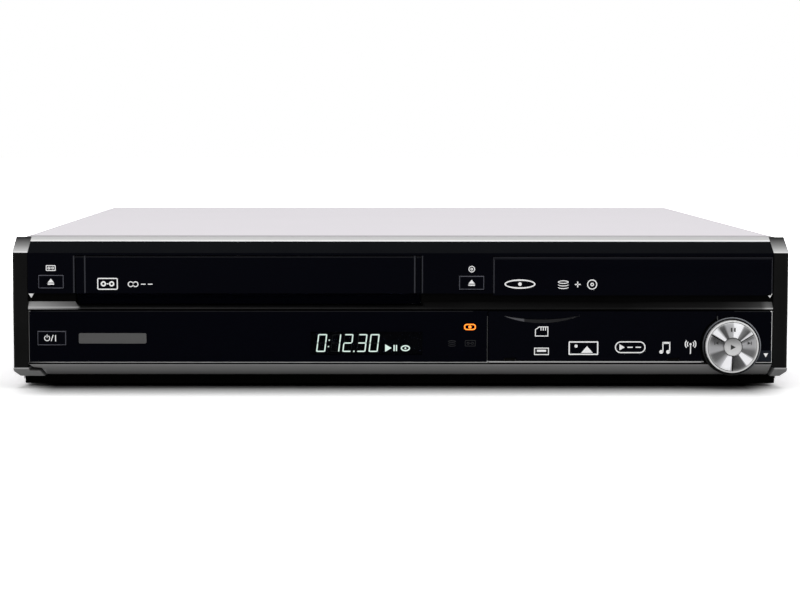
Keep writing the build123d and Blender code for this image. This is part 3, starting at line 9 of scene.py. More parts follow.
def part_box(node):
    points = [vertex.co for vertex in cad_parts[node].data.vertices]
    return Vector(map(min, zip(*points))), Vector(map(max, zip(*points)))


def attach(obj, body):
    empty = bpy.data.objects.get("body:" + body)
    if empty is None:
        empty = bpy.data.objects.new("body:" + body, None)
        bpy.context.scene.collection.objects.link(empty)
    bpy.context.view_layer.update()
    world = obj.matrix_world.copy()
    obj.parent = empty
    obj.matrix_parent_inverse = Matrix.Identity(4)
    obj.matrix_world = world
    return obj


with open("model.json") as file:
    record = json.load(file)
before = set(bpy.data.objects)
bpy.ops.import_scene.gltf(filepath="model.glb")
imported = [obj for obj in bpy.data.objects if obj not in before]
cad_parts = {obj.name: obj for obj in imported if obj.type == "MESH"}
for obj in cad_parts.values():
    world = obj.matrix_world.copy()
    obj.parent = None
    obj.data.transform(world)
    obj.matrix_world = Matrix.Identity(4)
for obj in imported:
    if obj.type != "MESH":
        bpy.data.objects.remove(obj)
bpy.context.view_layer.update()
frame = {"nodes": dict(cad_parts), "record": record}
nodes = frame["nodes"]
scene = bpy.context.scene
mm = 0.001
edgeGain = 6.0
print("frame loaded:", len(nodes), "nodes")


def faceOf(node):
    # the y of a node's front
    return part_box(node)[0].y


def middleOf(node):
    low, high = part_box(node)
    return (low + high) / 2


camera = dict(
    place=(-0.0225, -1.0315, 0.1456),
    pitch=-3.539,
    yaw=-0.199,
    roll=0.047,
    lens=70.52,
    sensor=36.0,
    shiftX=0.0429,
    shiftY=-0.0956,
)
cameraData = bpy.data.cameras.new("camera")
cameraData.lens = camera["lens"]
cameraData.sensor_width = camera["sensor"]
cameraData.shift_x = camera["shiftX"]
cameraData.shift_y = camera["shiftY"]
cameraData.clip_end = 50
cameraObject = bpy.data.objects.new("camera", cameraData)
turn = Matrix.Rotation(math.radians(camera["yaw"]), 4, "Z")
tilt = Matrix.Rotation(math.radians(90 + camera["pitch"]), 4, "X")
lean = Matrix.Rotation(math.radians(camera["roll"]), 4, "Z")
cameraObject.matrix_world = Matrix.Translation(camera["place"]) @ turn @ tilt @ lean
scene.collection.objects.link(cameraObject)
scene.camera = cameraObject
scene.view_settings.view_transform = "Standard"


class Sock:
    # a socket that does sums: each operator adds one Math node
    def __init__(self, tree, out):
        self.tree = tree
        self.out = out

    def sums(self, operation, first, second=None, third=None):
        node = self.tree.nodes.new("ShaderNodeMath")
        node.operation = operation
        for slotNumber, value in enumerate((first, second, third)):
            if isinstance(value, Sock):
                self.tree.links.new(value.out, node.inputs[slotNumber])
            elif value is not None:
                node.inputs[slotNumber].default_value = value
        return Sock(self.tree, node.outputs[0])

    def __add__(self, other):
        return self.sums("ADD", self, other)

    def __radd__(self, other):
        return self.sums("ADD", other, self)

    def __sub__(self, other):
        return self.sums("SUBTRACT", self, other)

    def __rsub__(self, other):
        return self.sums("SUBTRACT", other, self)

    def __mul__(self, other):
        return self.sums("MULTIPLY", self, other)

    def __rmul__(self, other):
        return self.sums("MULTIPLY", other, self)

    def __truediv__(self, other):
        return self.sums("DIVIDE", self, other)

    def __pow__(self, other):
        return self.sums("POWER", self, other)

    def __gt__(self, other):
        return self.sums("GREATER_THAN", self, other)

    def __lt__(self, other):
        return self.sums("LESS_THAN", self, other)

    def within(self, low, high):
        # 1 between two values, 0 outside
        return (self > low) * (self < high)

    def clamped(self):
        return self.sums("MINIMUM", self.sums("MAXIMUM", self, 0.0), 1.0)

    def size(self):
        return self.sums("ABSOLUTE", self)

    def wave(self):
        return self.sums("SINE", self)


class Graph:
    # a node tree with short ways to add to it
    def __init__(self, tree):
        self.tree = tree

    def node(self, kind, settings=None, wires=None, out=0):
        made = self.tree.nodes.new(kind)
        for key, value in (settings or {}).items():
            if key == "stops":
                while len(made.color_ramp.elements) < len(value):
                    made.color_ramp.elements.new(0.5)
                for element, (place, colour) in zip(made.color_ramp.elements, value):
                    element.position = place
                    element.color = colour
            else:
                setattr(made, key, value)
        for key, value in (wires or {}).items():
            if isinstance(value, Sock):
                self.tree.links.new(value.out, made.inputs[key])
            else:
                made.inputs[key].default_value = value
        return Sock(self.tree, made.outputs[out]) if out is not None else None

    def blend(self, factor, first, second):
        # a colour between two colours
        made = self.tree.nodes.new("ShaderNodeMix")
        made.data_type = "RGBA"
        for place, value in ((0, factor), (6, first), (7, second)):
            if isinstance(value, Sock):
                self.tree.links.new(value.out, made.inputs[place])
            else:
                made.inputs[place].default_value = value
        return Sock(self.tree, made.outputs[2])

    def parts(self, vector):
        # the x, y and z of a vector
        split = self.tree.nodes.new("ShaderNodeSeparateXYZ")
        self.tree.links.new(vector.out, split.inputs[0])
        return [Sock(self.tree, split.outputs[i]) for i in range(3)]


class Finish(Graph):
    # one material: its tree, its shader and where a point of it lies
    def __init__(self, name, fixed):
        self.mat = bpy.data.materials.new(name)
        self.mat.use_nodes = True
        super().__init__(self.mat.node_tree)
        self.shader = self.tree.nodes["Principled BSDF"]
        for socketName, value in fixed.items():
            self.shader.inputs[socketName].default_value = value
        self.coords = self.tree.nodes.new("ShaderNodeTexCoord")

    def place(self):
        return Sock(self.tree, self.coords.outputs["Object"])

    def facing(self):
        return Sock(self.tree, self.coords.outputs["Normal"])

    def stretched(self, scale):
        # object places scaled along each axis, in one per metre
        return self.node("ShaderNodeVectorMath", {"operation": "MULTIPLY"}, {0: self.place(), 1: scale})

    def noise(self, scale, detail=2.0, rough=0.5, along=None):
        wires = {"Scale": scale, "Detail": detail, "Roughness": rough}
        wires["Vector"] = self.stretched(along) if along else self.place()
        return self.node("ShaderNodeTexNoise", {}, wires)

    def cells(self, scale, out=0):
        return self.node("ShaderNodeTexVoronoi", {}, {"Vector": self.place(), "Scale": scale}, out)

    def axes(self):
        return self.parts(self.place())

    def radial(self, first, second, centre):
        # how far a point lies from an axis: across, up and outright
        across = first - centre[0]
        up = second - centre[1]
        return across, up, (across * across + up * up) ** 0.5

    def feed(self, socketName, value):
        self.tree.links.new(value.out, self.shader.inputs[socketName])

    def relief(self, height, strength, depth):
        # a height in 0 to 1 that stands depth metres proud
        wires = {"Height": height, "Strength": strength, "Distance": depth}
        self.feed("Normal", self.node("ShaderNodeBump", {}, wires))

    def edges(self):
        # 1 on bevels and chamfers, 0 on the flat faces of the model's own axes
        x, y, z = [part.size() for part in self.parts(self.facing())]
        largest = x.sums("MAXIMUM", x.sums("MAXIMUM", x, y), z)
        return ((1 - largest) * edgeGain).clamped()


def grey(value, tint=(1, 1, 1)):
    return (value * tint[0], value * tint[1], value * tint[2], 1.0)


def silverPaint():
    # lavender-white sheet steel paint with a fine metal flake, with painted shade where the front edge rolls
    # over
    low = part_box("top_cover")[0]
    look = dict(
        dark=(0.77, 0.735, 0.78, 1),
        light=(0.87, 0.83, 0.88, 1),
        roll=(0.42, 0.40, 0.425, 1),
        rough=0.36,
        rollShade=0.014,
        top=0.0835,
        flakes=7000,
    )
    paint = Finish("silverPaint", {"Metallic": 0.3, "Specular IOR Level": 0.4})
    y, z = paint.axes()[1:]
    flake = paint.noise(look["flakes"], 1.0)
    cloud = paint.noise(14, 3.0)
    # painted shade: where the top's front edge rolls over, it is mixed towards the darker roll colour
    rollShade = (2 - 2 * (y - low.y) / look["rollShade"]).clamped() * (z > look["top"])
    plain = paint.blend(cloud * 0.55 + flake * 0.45, look["dark"], look["light"])
    paint.feed("Base Color", paint.blend(rollShade, plain, look["roll"]))
    paint.feed("Roughness", look["rough"] + cloud * 0.08 + flake * 0.05)
    paint.relief(flake, 0.25, 0.00002)
    return paint.mat


def blackGloss(name="blackGloss", edgeHighlightTone=0.045, lit=(0.0535, 0.0757)):
    # deep gloss moulding, faintly wavy, with painted highlights on its edges between two heights
    look = dict(
        deep=(0.0012, 0.0014, 0.0032, 1),
        slope=(0.0048, 0.0053, 0.0066, 1),
        slopeLow=0.0757,
        edge=grey(edgeHighlightTone, (0.95, 0.96, 1.15)),
        rough=0.06,
    )
    gloss = Finish(name, {"Specular IOR Level": 0.1})
    z = gloss.axes()[2]
    # painted highlight: bevels between the two given heights are mixed towards the lighter edge colour
    edge = gloss.edges() * z.within(*lit)
    smear = gloss.noise(30, 4.0, 0.6)
    face = gloss.blend((z > look["slopeLow"]) * (0.7 + smear * 0.5), look["deep"], look["slope"])
    gloss.feed("Base Color", gloss.blend(edge, face, look["edge"]))
    gloss.feed("Roughness", look["rough"] + smear * 0.09 + edge * 0.12)
    gloss.relief(gloss.noise(180, 1.0), 0.05, 0.00002)
    return gloss.mat


def blackSatin(name="blackSatin", level=1.0):
    # fine-grained black sheet and moulding, with painted highlights on its edges; level makes darker copies for
    # painted shade
    look = dict(low=grey(0.0047 * level), high=grey(0.0088 * level), edge=grey(0.02 * level), rough=0.46)
    satin = Finish(name, {"Specular IOR Level": 0.12 * level})
    grain = satin.noise(2600, 2.0)
    edge = satin.edges()
    base = satin.blend(satin.noise(60, 3.0), look["low"], look["high"])
    # painted highlight: bevels and chamfers are mixed towards the lighter edge colour
    satin.feed("Base Color", satin.blend(edge * 0.7, base, look["edge"]))
    satin.feed("Roughness", look["rough"] + grain * 0.18)
    satin.relief(grain, 0.3, 0.00004)
    return satin.mat


def ramped(finish, value, low, high, stops):
    # greys along a value that runs from low to high
    share = ((value - low) / (high - low)).clamped()
    greys = [(at, grey(tone)) for at, tone in stops]
    return finish.node("ShaderNodeValToRGB", {"stops": greys}, {"Fac": share})


def trimBase(name, metal, rough):
    # the fine lines that run along every foil trim
    trim = Finish(name, {"Metallic": metal, "Specular IOR Level": 0.3})
    lines = trim.noise(1.0, 3.0, 0.6, along=(30, 5200, 5200))
    trim.feed("Roughness", rough + lines * 0.14)
    trim.relief(lines, 0.2, 0.00002)
    return trim, lines


def topTrimMetal():
    # a bright strip with painted shade at its top edge, between two wedges with painted light: lighter at their
    # feet and darker towards their tops
    low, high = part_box("top_trim")
    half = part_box("upper_panel")[1].x
    look = dict(
        stripHigh=0.0026,
        wedge=((0.0, 0.9), (0.12, 0.6), (0.45, 0.28), (0.75, 0.11), (0.9, 0.03), (1.0, 0.01)),
        strip=((0.0, 0.95), (0.3, 0.92), (0.5, 0.66), (1.0, 0.60)),
    )
    trim = trimBase("topTrimMetal", 0.2, 0.3)[0]
    x, _, z = trim.axes()
    ends = x.size() > half
    # painted light and shade on the end wedges, and painted shade along the strip's top edge
    shade = ramped(trim, z, low.z, high.z, look["wedge"])
    strip = ramped(trim, z, high.z - look["stripHigh"], high.z, look["strip"])
    trim.feed("Base Color", trim.blend(ends, strip, shade))
    return trim.mat


def middleTrimPaintedLight():
    # the ledge, painted light on black: a painted highlight pale at its left end, then a painted highlight line
    # that fades into the dark, with a painted glint on its right tip
    low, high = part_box("middle_trim")
    look = dict(
        line=0.0451,
        rise=0.0005,
        riseTo=-0.178,
        highlightHalf=0.0005,
        tones=((0.0, 0.56), (0.02, 0.55), (0.06, 0.42), (0.066, 0.38), (0.07, 0.032), (0.2, 0.03), (0.4, 0.022),
               (0.53, 0.018), (0.56, 0.010), (0.8, 0.010), (0.93, 0.045), (0.965, 0.11), (0.985, 0.2),
               (0.992, 0.6), (1.0, 0.6)),
        shares=((0.0, 0.7), (0.03, 0.55), (0.066, 0.35), (0.07, 0.08), (0.5, 0.08), (0.6, 0.5), (0.9, 0.22),
                (1.0, 0.3)),
    )
    trim, lines = trimBase("middleTrimPaintedLight", 0.1, 0.24)
    x, _, z = trim.axes()
    # painted highlight: a thin line of light along the ledge, and painted light along it, pale at its ends and
    # dark in its middle
    middle = look["line"] + (x < look["riseTo"]) * look["rise"]
    line = (1 - (z - middle).size() / look["highlightHalf"]).clamped()
    tone = ramped(trim, x, low.x, high.x, look["tones"])
    share = trim.parts(ramped(trim, x, low.x, high.x, look["shares"]))[0]
    trim.feed("Base Color", trim.blend((1 - line) * (1 - share) + lines * 0.1, tone, grey(0.0)))
    return trim.mat


def bottomTrimMetal():
    # the bevel: a painted highlight near its top edge under a black lip, then painted shade down to near black
    # at its foot, with lighter corner pieces that carry a painted highlight along their tops
    low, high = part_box("bottom_trim")
    look = dict(
        cornerLeft=-0.2064,
        cornerRight=0.2067,
        stepX=-0.1975,
        stepZ=0.0104,
        cornerTop=0.0112,
        corner=0.27,
        cornerHighlight=0.6,
        bevel=((0.0, 0.02), (0.08, 0.05), (0.2, 0.13), (0.43, 0.20), (0.68, 0.25), (0.83, 0.30), (0.86, 0.45),
               (0.885, 0.40), (0.90, 0.003), (1.0, 0.003)),
    )
    trim, lines = trimBase("bottomTrimMetal", 0.2, 0.34)
    x, _, z = trim.axes()
    # painted highlight and shade down the bevel
    bevel = ramped(trim, z, low.z, high.z, look["bevel"])
    corner = (x < look["cornerLeft"]) + (x > look["cornerRight"]) + (x < look["stepX"]) * (z < look["stepZ"])
    # painted highlight along the corner pieces' top edge
    cornerHighlightMask = (z > look["cornerTop"]) * 0.7
    cornerTone = trim.blend(cornerHighlightMask, grey(look["corner"]), grey(look["cornerHighlight"]))
    both = trim.blend(corner.clamped(), bevel, cornerTone)
    trim.feed("Base Color", trim.blend(lines * 0.25, both, grey(0.0)))
    return trim.mat


def brushed(name, low, high, metal, rough):
    # metal paint or foil with fine lines along the width
    trim, lines = trimBase(name, metal, rough)
    trim.feed("Base Color", trim.blend(lines * 0.6 + trim.noise(22, 2.0) * 0.4, low, high))
    return trim.mat


def chrome():
    # the dial's two rings, with painted reflections: the inner one painted bright, the outer one painted
    # lighter towards its top and right and dark below
    dialMid = middleOf("dial_rims")
    look = dict(between=0.0150, outerShade=grey(0.012), outerHighlight=grey(0.26, (0.96, 1, 1.1)))
    bright = Finish("chrome", {"Metallic": 0.1, "Specular IOR Level": 0.4})
    haze = bright.noise(90, 3.0)
    x, _, z = bright.axes()
    across, up, radius = bright.radial(x, z, (dialMid.x, dialMid.z))
    paintedOuterLight = ((up * 0.8 + across * 0.5) / radius * 0.6 + 0.45).clamped()
    outer = bright.blend(paintedOuterLight, look["outerShade"], look["outerHighlight"])
    # painted reflection: the inner ring is painted bright, brighter still on its edges
    inner = bright.blend(bright.edges() * 0.4 + haze * 0.4, grey(0.80), grey(1.0))
    bright.feed("Base Color", bright.blend(radius > look["between"], inner, outer))
    bright.feed("Roughness", 0.1 + haze * 0.12)
    bright.relief(bright.noise(240, 1.0), 0.05, 0.00001)
    return bright.mat


def spunMetal():
    # keys turned on a lathe: fine rings, and fans of painted reflection, light and dark, round the dial's axis,
    # with painted highlights on their edges
    dialMid = middleOf("dial_rims")
    look = dict(
        darkest=0.006,
        gain=1.25,
        rings=9000,
        fans=(
            (0.0, 0.36), (0.05, 0.34), (0.075, 0.05), (0.09, 0.75), (0.105, 0.7), (0.115, 0.03), (0.165, 0.2),
            (0.178, 0.95), (0.236, 1.0), (0.25, 0.45), (0.30, 0.36), (0.318, 0.05), (0.348, 0.05), (0.372, 0.9),
            (0.402, 0.9), (0.417, 0.02), (0.45, 0.06), (0.50, 0.34), (0.54, 0.38), (0.56, 0.08), (0.61, 0.12),
            (0.655, 0.45), (0.675, 1.0), (0.73, 1.0), (0.75, 0.02), (0.80, 0.04), (0.845, 0.08), (0.86, 1.0),
            (0.905, 0.95), (0.925, 0.1), (0.965, 0.12), (1.0, 0.36),
        ),
    )
    spun = Finish("spunMetal", {"Metallic": 0.08, "Specular IOR Level": 0.5})
    x, _, z = spun.axes()
    across, up, radius = spun.radial(x, z, (dialMid.x, dialMid.z))
    angle = up.sums("ARCTAN2", up, across) / math.tau
    round360 = angle.sums("FRACT", angle + 1.0)
    stops = [(at, grey(look["darkest"] + look["gain"] * tone, (1, 1, 1.03))) for at, tone in look["fans"]]
    # painted reflection: the fans are set in the base colour by angle round the dial
    ramp = spun.node("ShaderNodeValToRGB", {"stops": stops}, {"Fac": round360})
    rings = (radius * look["rings"]).wave() * 0.5 + 0.5
    grit = spun.noise(1100, 3.0, 0.7)
    mottled = spun.blend(grit * 0.16, ramp, grey(0.25))
    # painted highlight: edges are mixed towards white
    spun.feed("Base Color", spun.blend(spun.edges() * 0.5, mottled, grey(1.0)))
    spun.feed("Roughness", 0.22 + rings * 0.1 + grit * 0.08)
    spun.relief(rings, 0.25, 0.00003)
    return spun.mat


def centreMetal():
    # the middle key: finely sanded, with painted reflection, pale at its foot and darker towards its top
    low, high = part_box("dial_key_centre")
    look = dict(tones=((0.0, 0.95), (0.5, 0.75), (0.85, 0.34), (1.0, 0.15)), grit=3800)
    plate = Finish("centreMetal", {"Metallic": 0.08, "Specular IOR Level": 0.5})
    z = plate.axes()[2]
    # painted reflection down the key
    shade = ramped(plate, z, low.z, high.z, look["tones"])
    grit = plate.noise(look["grit"], 3.0, 0.7)
    plate.feed("Base Color", plate.blend(grit * 0.4, shade, grey(0.28)))
    plate.feed("Roughness", 0.34 + grit * 0.14)
    plate.relief(grit, 0.3, 0.00003)
    return plate.mat


def turned(name, low, high, centre, rough=0.2, ringScale=12000):
    # machined metal with rings round an upright axis
    metal = Finish(name, {"Metallic": 1.0})
    x, y = metal.axes()[:2]
    radius = metal.radial(x, y, centre)[2]
    rings = (radius * ringScale).wave() * 0.5 + 0.5
    cloud = metal.noise(60, 2.0)
    metal.feed("Base Color", metal.blend(rings * 0.5 + cloud * 0.5, low, high))
    metal.feed("Roughness", rough + cloud * 0.1)
    metal.relief(rings, 0.2, 0.00001)
    return metal.mat


def zincSteel(name="zincSteel", low=0.46, high=0.62, spangle=330):
    # galvanised sheet with its frosty spangle
    zinc = Finish(name, {"Metallic": 0.85})
    tone = zinc.parts(zinc.cells(spangle, "Color"))[0]
    fine = zinc.noise(900, 2.0)
    cool = (1, 1, 1.02)
    zinc.feed("Base Color", zinc.blend(tone * 0.4 + fine * 0.6, grey(low, cool), grey(high, cool)))
    zinc.feed("Roughness", 0.36 + tone * 0.07 + fine * 0.05)
    zinc.relief(fine, 0.15, 0.00003)
    return zinc.mat


def moulded(name, low, high, rough=0.5, grain=2200, specular=0.4, depth=0.00004):
    # plastic or rubber with a fine moulded grain
    plastic = Finish(name, {"Specular IOR Level": specular})
    grains = plastic.noise(grain, 2.0)
    cloud = plastic.noise(45, 3.0)
    plastic.feed("Base Color", plastic.blend(cloud, low, high))
    plastic.feed("Roughness", rough + grains * 0.15)
    plastic.relief(grains, 0.3, depth)
    return plastic.mat


def boardGreen():
    # solder resist over copper tracks
    board = Finish("boardGreen", {"Specular IOR Level": 0.5})
    look = dict(resist=(0.012, 0.075, 0.028, 1), copper=(0.05, 0.20, 0.07, 1), trackScale=(2400, 900), pads=420)
    x, y = board.axes()[:2]
    acrossScale, alongScale = look["trackScale"]
    tracks = ((x * acrossScale).wave() * (y * alongScale).wave()).size() > 0.72
    pads = board.cells(look["pads"]) < 0.18
    copper = (tracks * 0.6 + pads).clamped()
    board.feed("Base Color", board.blend(copper, look["resist"], look["copper"]))
    board.feed("Roughness", 0.32 + board.noise(500, 2.0) * 0.2)
    board.relief(copper, 0.3, 0.00004)
    return board.mat


def smokedPane():
    # the lower panes: smoked gloss, see-through only over the digits, with a painted highlight on the rim, dim
    # at the left and bright at the right
    look = dict(
        deep=(0.0008, 0.0010, 0.0028, 1),
        clear=0.7,
        digits=(-0.050, 0.012, 0.0190, 0.0320),
        split=(0.040, 0.185),
        rim=((0.0, 0.14), (0.03, 0.7), (0.94, 0.8), (1.0, 0.9)),
        inset=0.001,
    )
    low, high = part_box("lower_panel")
    pane = Finish("smokedPane", {"Specular IOR Level": 0.09})
    x, _, z = pane.axes()
    left, right, footHighlight, top = look["digits"]
    window = x.within(left, right) * z.within(footHighlight, top)
    rim = ramped(pane, x, low.x, high.x, look["rim"])
    level = (z - low.z) / (high.z - low.z)
    topLine = (level > 0.9) * x.within(low.x + look["inset"], high.x - look["inset"])
    split = x.within(*look["split"]) * (level > 0.04)
    # painted highlight on the pane's edges, except along the top and across the split
    edge = pane.edges() * (1 - topLine * 0.98) * (1 - split * 0.9)
    smear = pane.noise(26, 4.0, 0.6)
    pane.feed("Base Color", pane.blend(edge, look["deep"], rim))
    pane.feed("Roughness", 0.05 + smear * 0.07 + edge * 0.15)
    pane.feed("Alpha", 1 - window * look["clear"])
    pane.relief(pane.noise(140, 1.0), 0.04, 0.00002)
    return pane.mat


def flapGloss():
    # the flap: a painted highlight along its foot, and a finger scoop with painted reflection that is pale
    # towards its two ends
    look = dict(
        deep=(0.0012, 0.0014, 0.0032, 1),
        footTop=0.0156,
        scoop=(0.0355, 0.0425),
        scoopMid=0.078,
        scoopHalf=0.021,
        scoopPast=0.002,
        tones=((0.0, 0.02), (0.6, 0.06), (1.0, 0.30)),
    )
    flap = Finish("flapGloss", {"Specular IOR Level": 0.1})
    x, _, z = flap.axes()
    edge = flap.edges()
    # painted highlight along the flap's foot
    footHighlight = (z < look["footTop"]) * 0.9
    off = (x - look["scoopMid"]).size()
    apart = (off / look["scoopHalf"]).clamped()
    # painted reflection on the scoop's edge, pale towards its ends
    scoop = edge * z.within(*look["scoop"]) * (off < look["scoopHalf"] + look["scoopPast"])
    tone = flap.blend(scoop, grey(0.5), ramped(flap, apart, 0.0, 1.0, look["tones"]))
    smear = flap.noise(30, 4.0, 0.6)
    flap.feed("Base Color", flap.blend((footHighlight + scoop).clamped(), look["deep"], tone))
    flap.feed("Roughness", 0.06 + smear * 0.09 + edge * 0.12)
    flap.relief(flap.noise(180, 1.0), 0.05, 0.00002)
    return flap.mat


def displayGlass():
    # the tube's dark glass with a fine mesh in front of its segments
    glass = Finish("displayGlass", {"Specular IOR Level": 0.2})
    look = dict(deep=(0.0015, 0.0018, 0.0022, 1), wire=(0.005, 0.006, 0.006, 1), pitch=9000)
    x, _, z = glass.axes()
    mesh = ((x * look["pitch"]).wave() * (z * look["pitch"]).wave()).size()
    glass.feed("Base Color", glass.blend(mesh, look["deep"], look["wire"]))
    glass.feed("Roughness", 0.12 + mesh * 0.1)
    return glass.mat


def ribbonGrey():
    # ten cores side by side in the flat cable
    ribbon = Finish("ribbonGrey", {"Specular IOR Level": 0.4})
    look = dict(low=(0.18, 0.18, 0.19, 1), high=(0.36, 0.36, 0.38, 1), pitch=0.00127)
    x = ribbon.axes()[0]
    cores = (x * (math.tau / look["pitch"])).wave() * 0.5 + 0.5
    ribbon.feed("Base Color", ribbon.blend(cores, look["low"], look["high"]))
    ribbon.feed("Roughness", 0.5 + cores * 0.1)
    ribbon.relief(cores, 0.6, 0.0002)
    return ribbon.mat


def printInk(name, low, high, rough=0.4):
    # screen-printed ink with a slightly uneven film
    ink = Finish(name, {"Specular IOR Level": 0.3})
    film = ink.noise(1800, 3.0)
    ink.feed("Base Color", ink.blend(film, low, high))
    ink.feed("Roughness", rough + film * 0.2)
    ink.relief(film, 0.2, 0.00001)
    return ink.mat


def lampGlow(name, low, high, strength):
    # a lit segment, a little brighter at its middle grains
    glow = Finish(name, {"Base Color": grey(0.01), "Roughness": 0.5, "Emission Strength": strength})
    grains = glow.noise(1400, 2.0)
    glow.feed("Emission Color", glow.blend(grains, low, high))
    return glow.mat


drumMid = middleOf("head_drum")
finishes = {
    "silver_paint": silverPaint(),
    "black_gloss": blackGloss(),
    "black_satin": blackSatin(),
    "grey_trim": bottomTrimMetal(),
    "bright_trim": topTrimMetal(),
    "chrome": chrome(),
    "spun_metal": spunMetal(),
    "zinc_steel": zincSteel(),
    "screw_steel": zincSteel("screwSteel", 0.10, 0.2, 500),
    "rubber_black": moulded("rubberBlack", grey(0.012), grey(0.022), 0.75, 1500, 0.3, 0.00006),
    "board_green": boardGreen(),
    "part_black": moulded("partBlack", grey(0.014), grey(0.024), 0.45),
    "part_grey": moulded("partGrey", grey(0.16), grey(0.22), 0.5),
    "drum_metal": turned("drumMetal", grey(0.5), grey(0.78), (drumMid.x, drumMid.y)),
    "socket_metal": zincSteel("socketMetal", 0.5, 0.72, 700),
    "display_glass": displayGlass(),
    "cable_grey": ribbonGrey(),
    "white_plastic": moulded("whitePlastic", grey(0.62), grey(0.72), 0.4),
}
smoked = smokedPane()
print("finishes made:", len(finishes) + 1)


def dress(node, finish):
    thing = nodes[node]
    if thing.material_slots:
        for place in thing.material_slots:
            place.link = "OBJECT"
            place.material = finish
    else:
        thing.data.materials.append(finish)


for part in frame["record"]["subparts"]:
    dress(part["node"], finishes[part["material_slot"]])
ownFinish = {
    "lower_panel": smoked,
    "middle_trim": middleTrimPaintedLight(),
    "dial_key_centre": centreMetal(),
    "cassette_door": blackGloss("doorGloss", 0.02),
    "front_flap": flapGloss(),
    # painted shade: the frame in the groove and the skirt under the front get darker copies of the satin
    "front_frame": blackSatin("frameSatinShaded", 0.3),
    "base_skirt": blackSatin("skirtSatinShaded", 0.15),
}
# painted highlights: the keys' edges get a much lighter edge colour at every height
keyGloss = blackGloss("keyGloss", 0.2, (0.0, 0.0757))
for node in ("power_key", "eject_key", "open_close_key"):
    ownFinish[node] = keyGloss
for node, finish in ownFinish.items():
    dress(node, finish)


def roundEdges(node, width, segments=3, angle=40):
    # a small moulded radius on a node's sharp edges
    thing = nodes[node]
    weld = thing.modifiers.new("weld", "WELD")
    weld.merge_threshold = 0.000001
    bevel = thing.modifiers.new("bevel", "BEVEL")
    bevel.width = width
    bevel.segments = segments
    bevel.limit_method = "ANGLE"
    bevel.angle_limit = math.radians(angle)
    bevel.use_clamp_overlap = True
    even = thing.modifiers.new("even", "WEIGHTED_NORMAL")
    even.keep_sharp = False


edgeRadii = {
    "upper_panel": 0.0003,
    "cassette_door": 0.0003,
    "tray_front": 0.0002,
    "front_flap": 0.00022,
    "end_caps": 0.0003,
    "base_skirt": 0.0004,
    "top_trim": 0.00012,
    "middle_trim": 0.00018,
    "bottom_trim": 0.0002,
    "eject_key": 0.0003,
    "power_key": 0.0003,
    "open_close_key": 0.0003,
    "dial_key_top": 0.0003,
    "dial_key_left": 0.0003,
    "dial_key_right": 0.0003,
    "dial_key_centre": 0.0003,
    "top_cover": 0.00025,
}
for node, width in edgeRadii.items():
    roundEdges(node, width)
print("nodes dressed")


def bar(cx, cz, width, height):
    w, h = width / 2, height / 2
    return [[(cx - w, cz - h), (cx + w, cz - h), (cx + w, cz + h), (cx - w, cz + h)]]


def arc(cx, cz, inner, outer, start=0, end=360, steps=40):
    # a ring or a piece of one, as small four-sided faces
    turns = [math.radians(start + (end - start) * i / steps) for i in range(steps + 1)]
    return [[(cx + reach * math.cos(turn), cz + reach * math.sin(turn))
             for reach, turn in ((inner, a), (outer, a), (outer, b), (inner, b))]
            for a, b in zip(turns, turns[1:])]


def oval(cx, cz, wide, high, line, steps=36):
    # an outline with two half axes
    turns = [math.tau * i / steps for i in range(steps + 1)]
    return [[(cx + (wide - cut) * math.cos(turn), cz + (high - cut) * math.sin(turn))
             for cut, turn in ((line, a), (0, a), (0, b), (line, b))]
            for a, b in zip(turns, turns[1:])]


def disc(cx, cz, radius, steps=28):
    return [[(cx + radius * math.cos(math.tau * i / steps), cz + radius * math.sin(math.tau * i / steps))
             for i in range(steps)]]


def triangle(cx, cz, width, height, way="up"):
    w, h = width / 2, height / 2
    points = {
        "up": [(cx - w, cz - h), (cx + w, cz - h), (cx, cz + h)],
        "down": [(cx - w, cz + h), (cx, cz - h), (cx + w, cz + h)],
        "right": [(cx - w, cz - h), (cx + w, cz), (cx - w, cz + h)],
        "left": [(cx + w, cz + h), (cx - w, cz), (cx + w, cz - h)],
    }
    return [points[way]]


def roundLoop(cx, cz, width, height, radius, steps=5):
    loop = []
    for sideX, sideZ, start in ((1, 1, 0), (-1, 1, 90), (-1, -1, 180), (1, -1, 270)):
        for i in range(steps + 1):
            turn = math.radians(start + 90 * i / steps)
            loop.append((cx + sideX * (width / 2 - radius) + radius * math.cos(turn),
                         cz + sideZ * (height / 2 - radius) + radius * math.sin(turn)))
    return loop


def boxLine(cx, cz, width, height, radius, line):
    # a rounded outline of an even line
    outer = roundLoop(cx, cz, width, height, radius)
    inner = roundLoop(cx, cz, width - 2 * line, height - 2 * line, max(radius - line, 0.01))
    count = len(outer)
    return [[inner[i], outer[i], outer[(i + 1) % count], inner[(i + 1) % count]] for i in range(count)]


def pieceFrom(name, mesh, finish, body):
    bmesh.ops.recalc_face_normals(mesh, faces=mesh.faces)
    data = bpy.data.meshes.new(name)
    mesh.to_mesh(data)
    mesh.free()
    data.materials.append(finish)
    piece = bpy.data.objects.new(name, data)
    scene.collection.objects.link(piece)
    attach(piece, body)
    return piece


def printPiece(name, shapes, y, finish, body, thick=0.03):
    # flat faces in millimetres, given the thickness of ink and set at y, looking forwards
    mesh = bmesh.new()
    for shape in shapes:
        front = [mesh.verts.new((x * mm, y - thick * mm, z * mm)) for x, z in shape]
        back = [mesh.verts.new((x * mm, y, z * mm)) for x, z in shape]
        mesh.faces.new(front)
        mesh.faces.new(list(reversed(back)))
        for i in range(len(shape)):
            j = (i + 1) % len(shape)
            mesh.faces.new((front[j], front[i], back[i], back[j]))
    bmesh.ops.remove_doubles(mesh, verts=mesh.verts, dist=1e-7)
    return pieceFrom(name, mesh, finish, body)


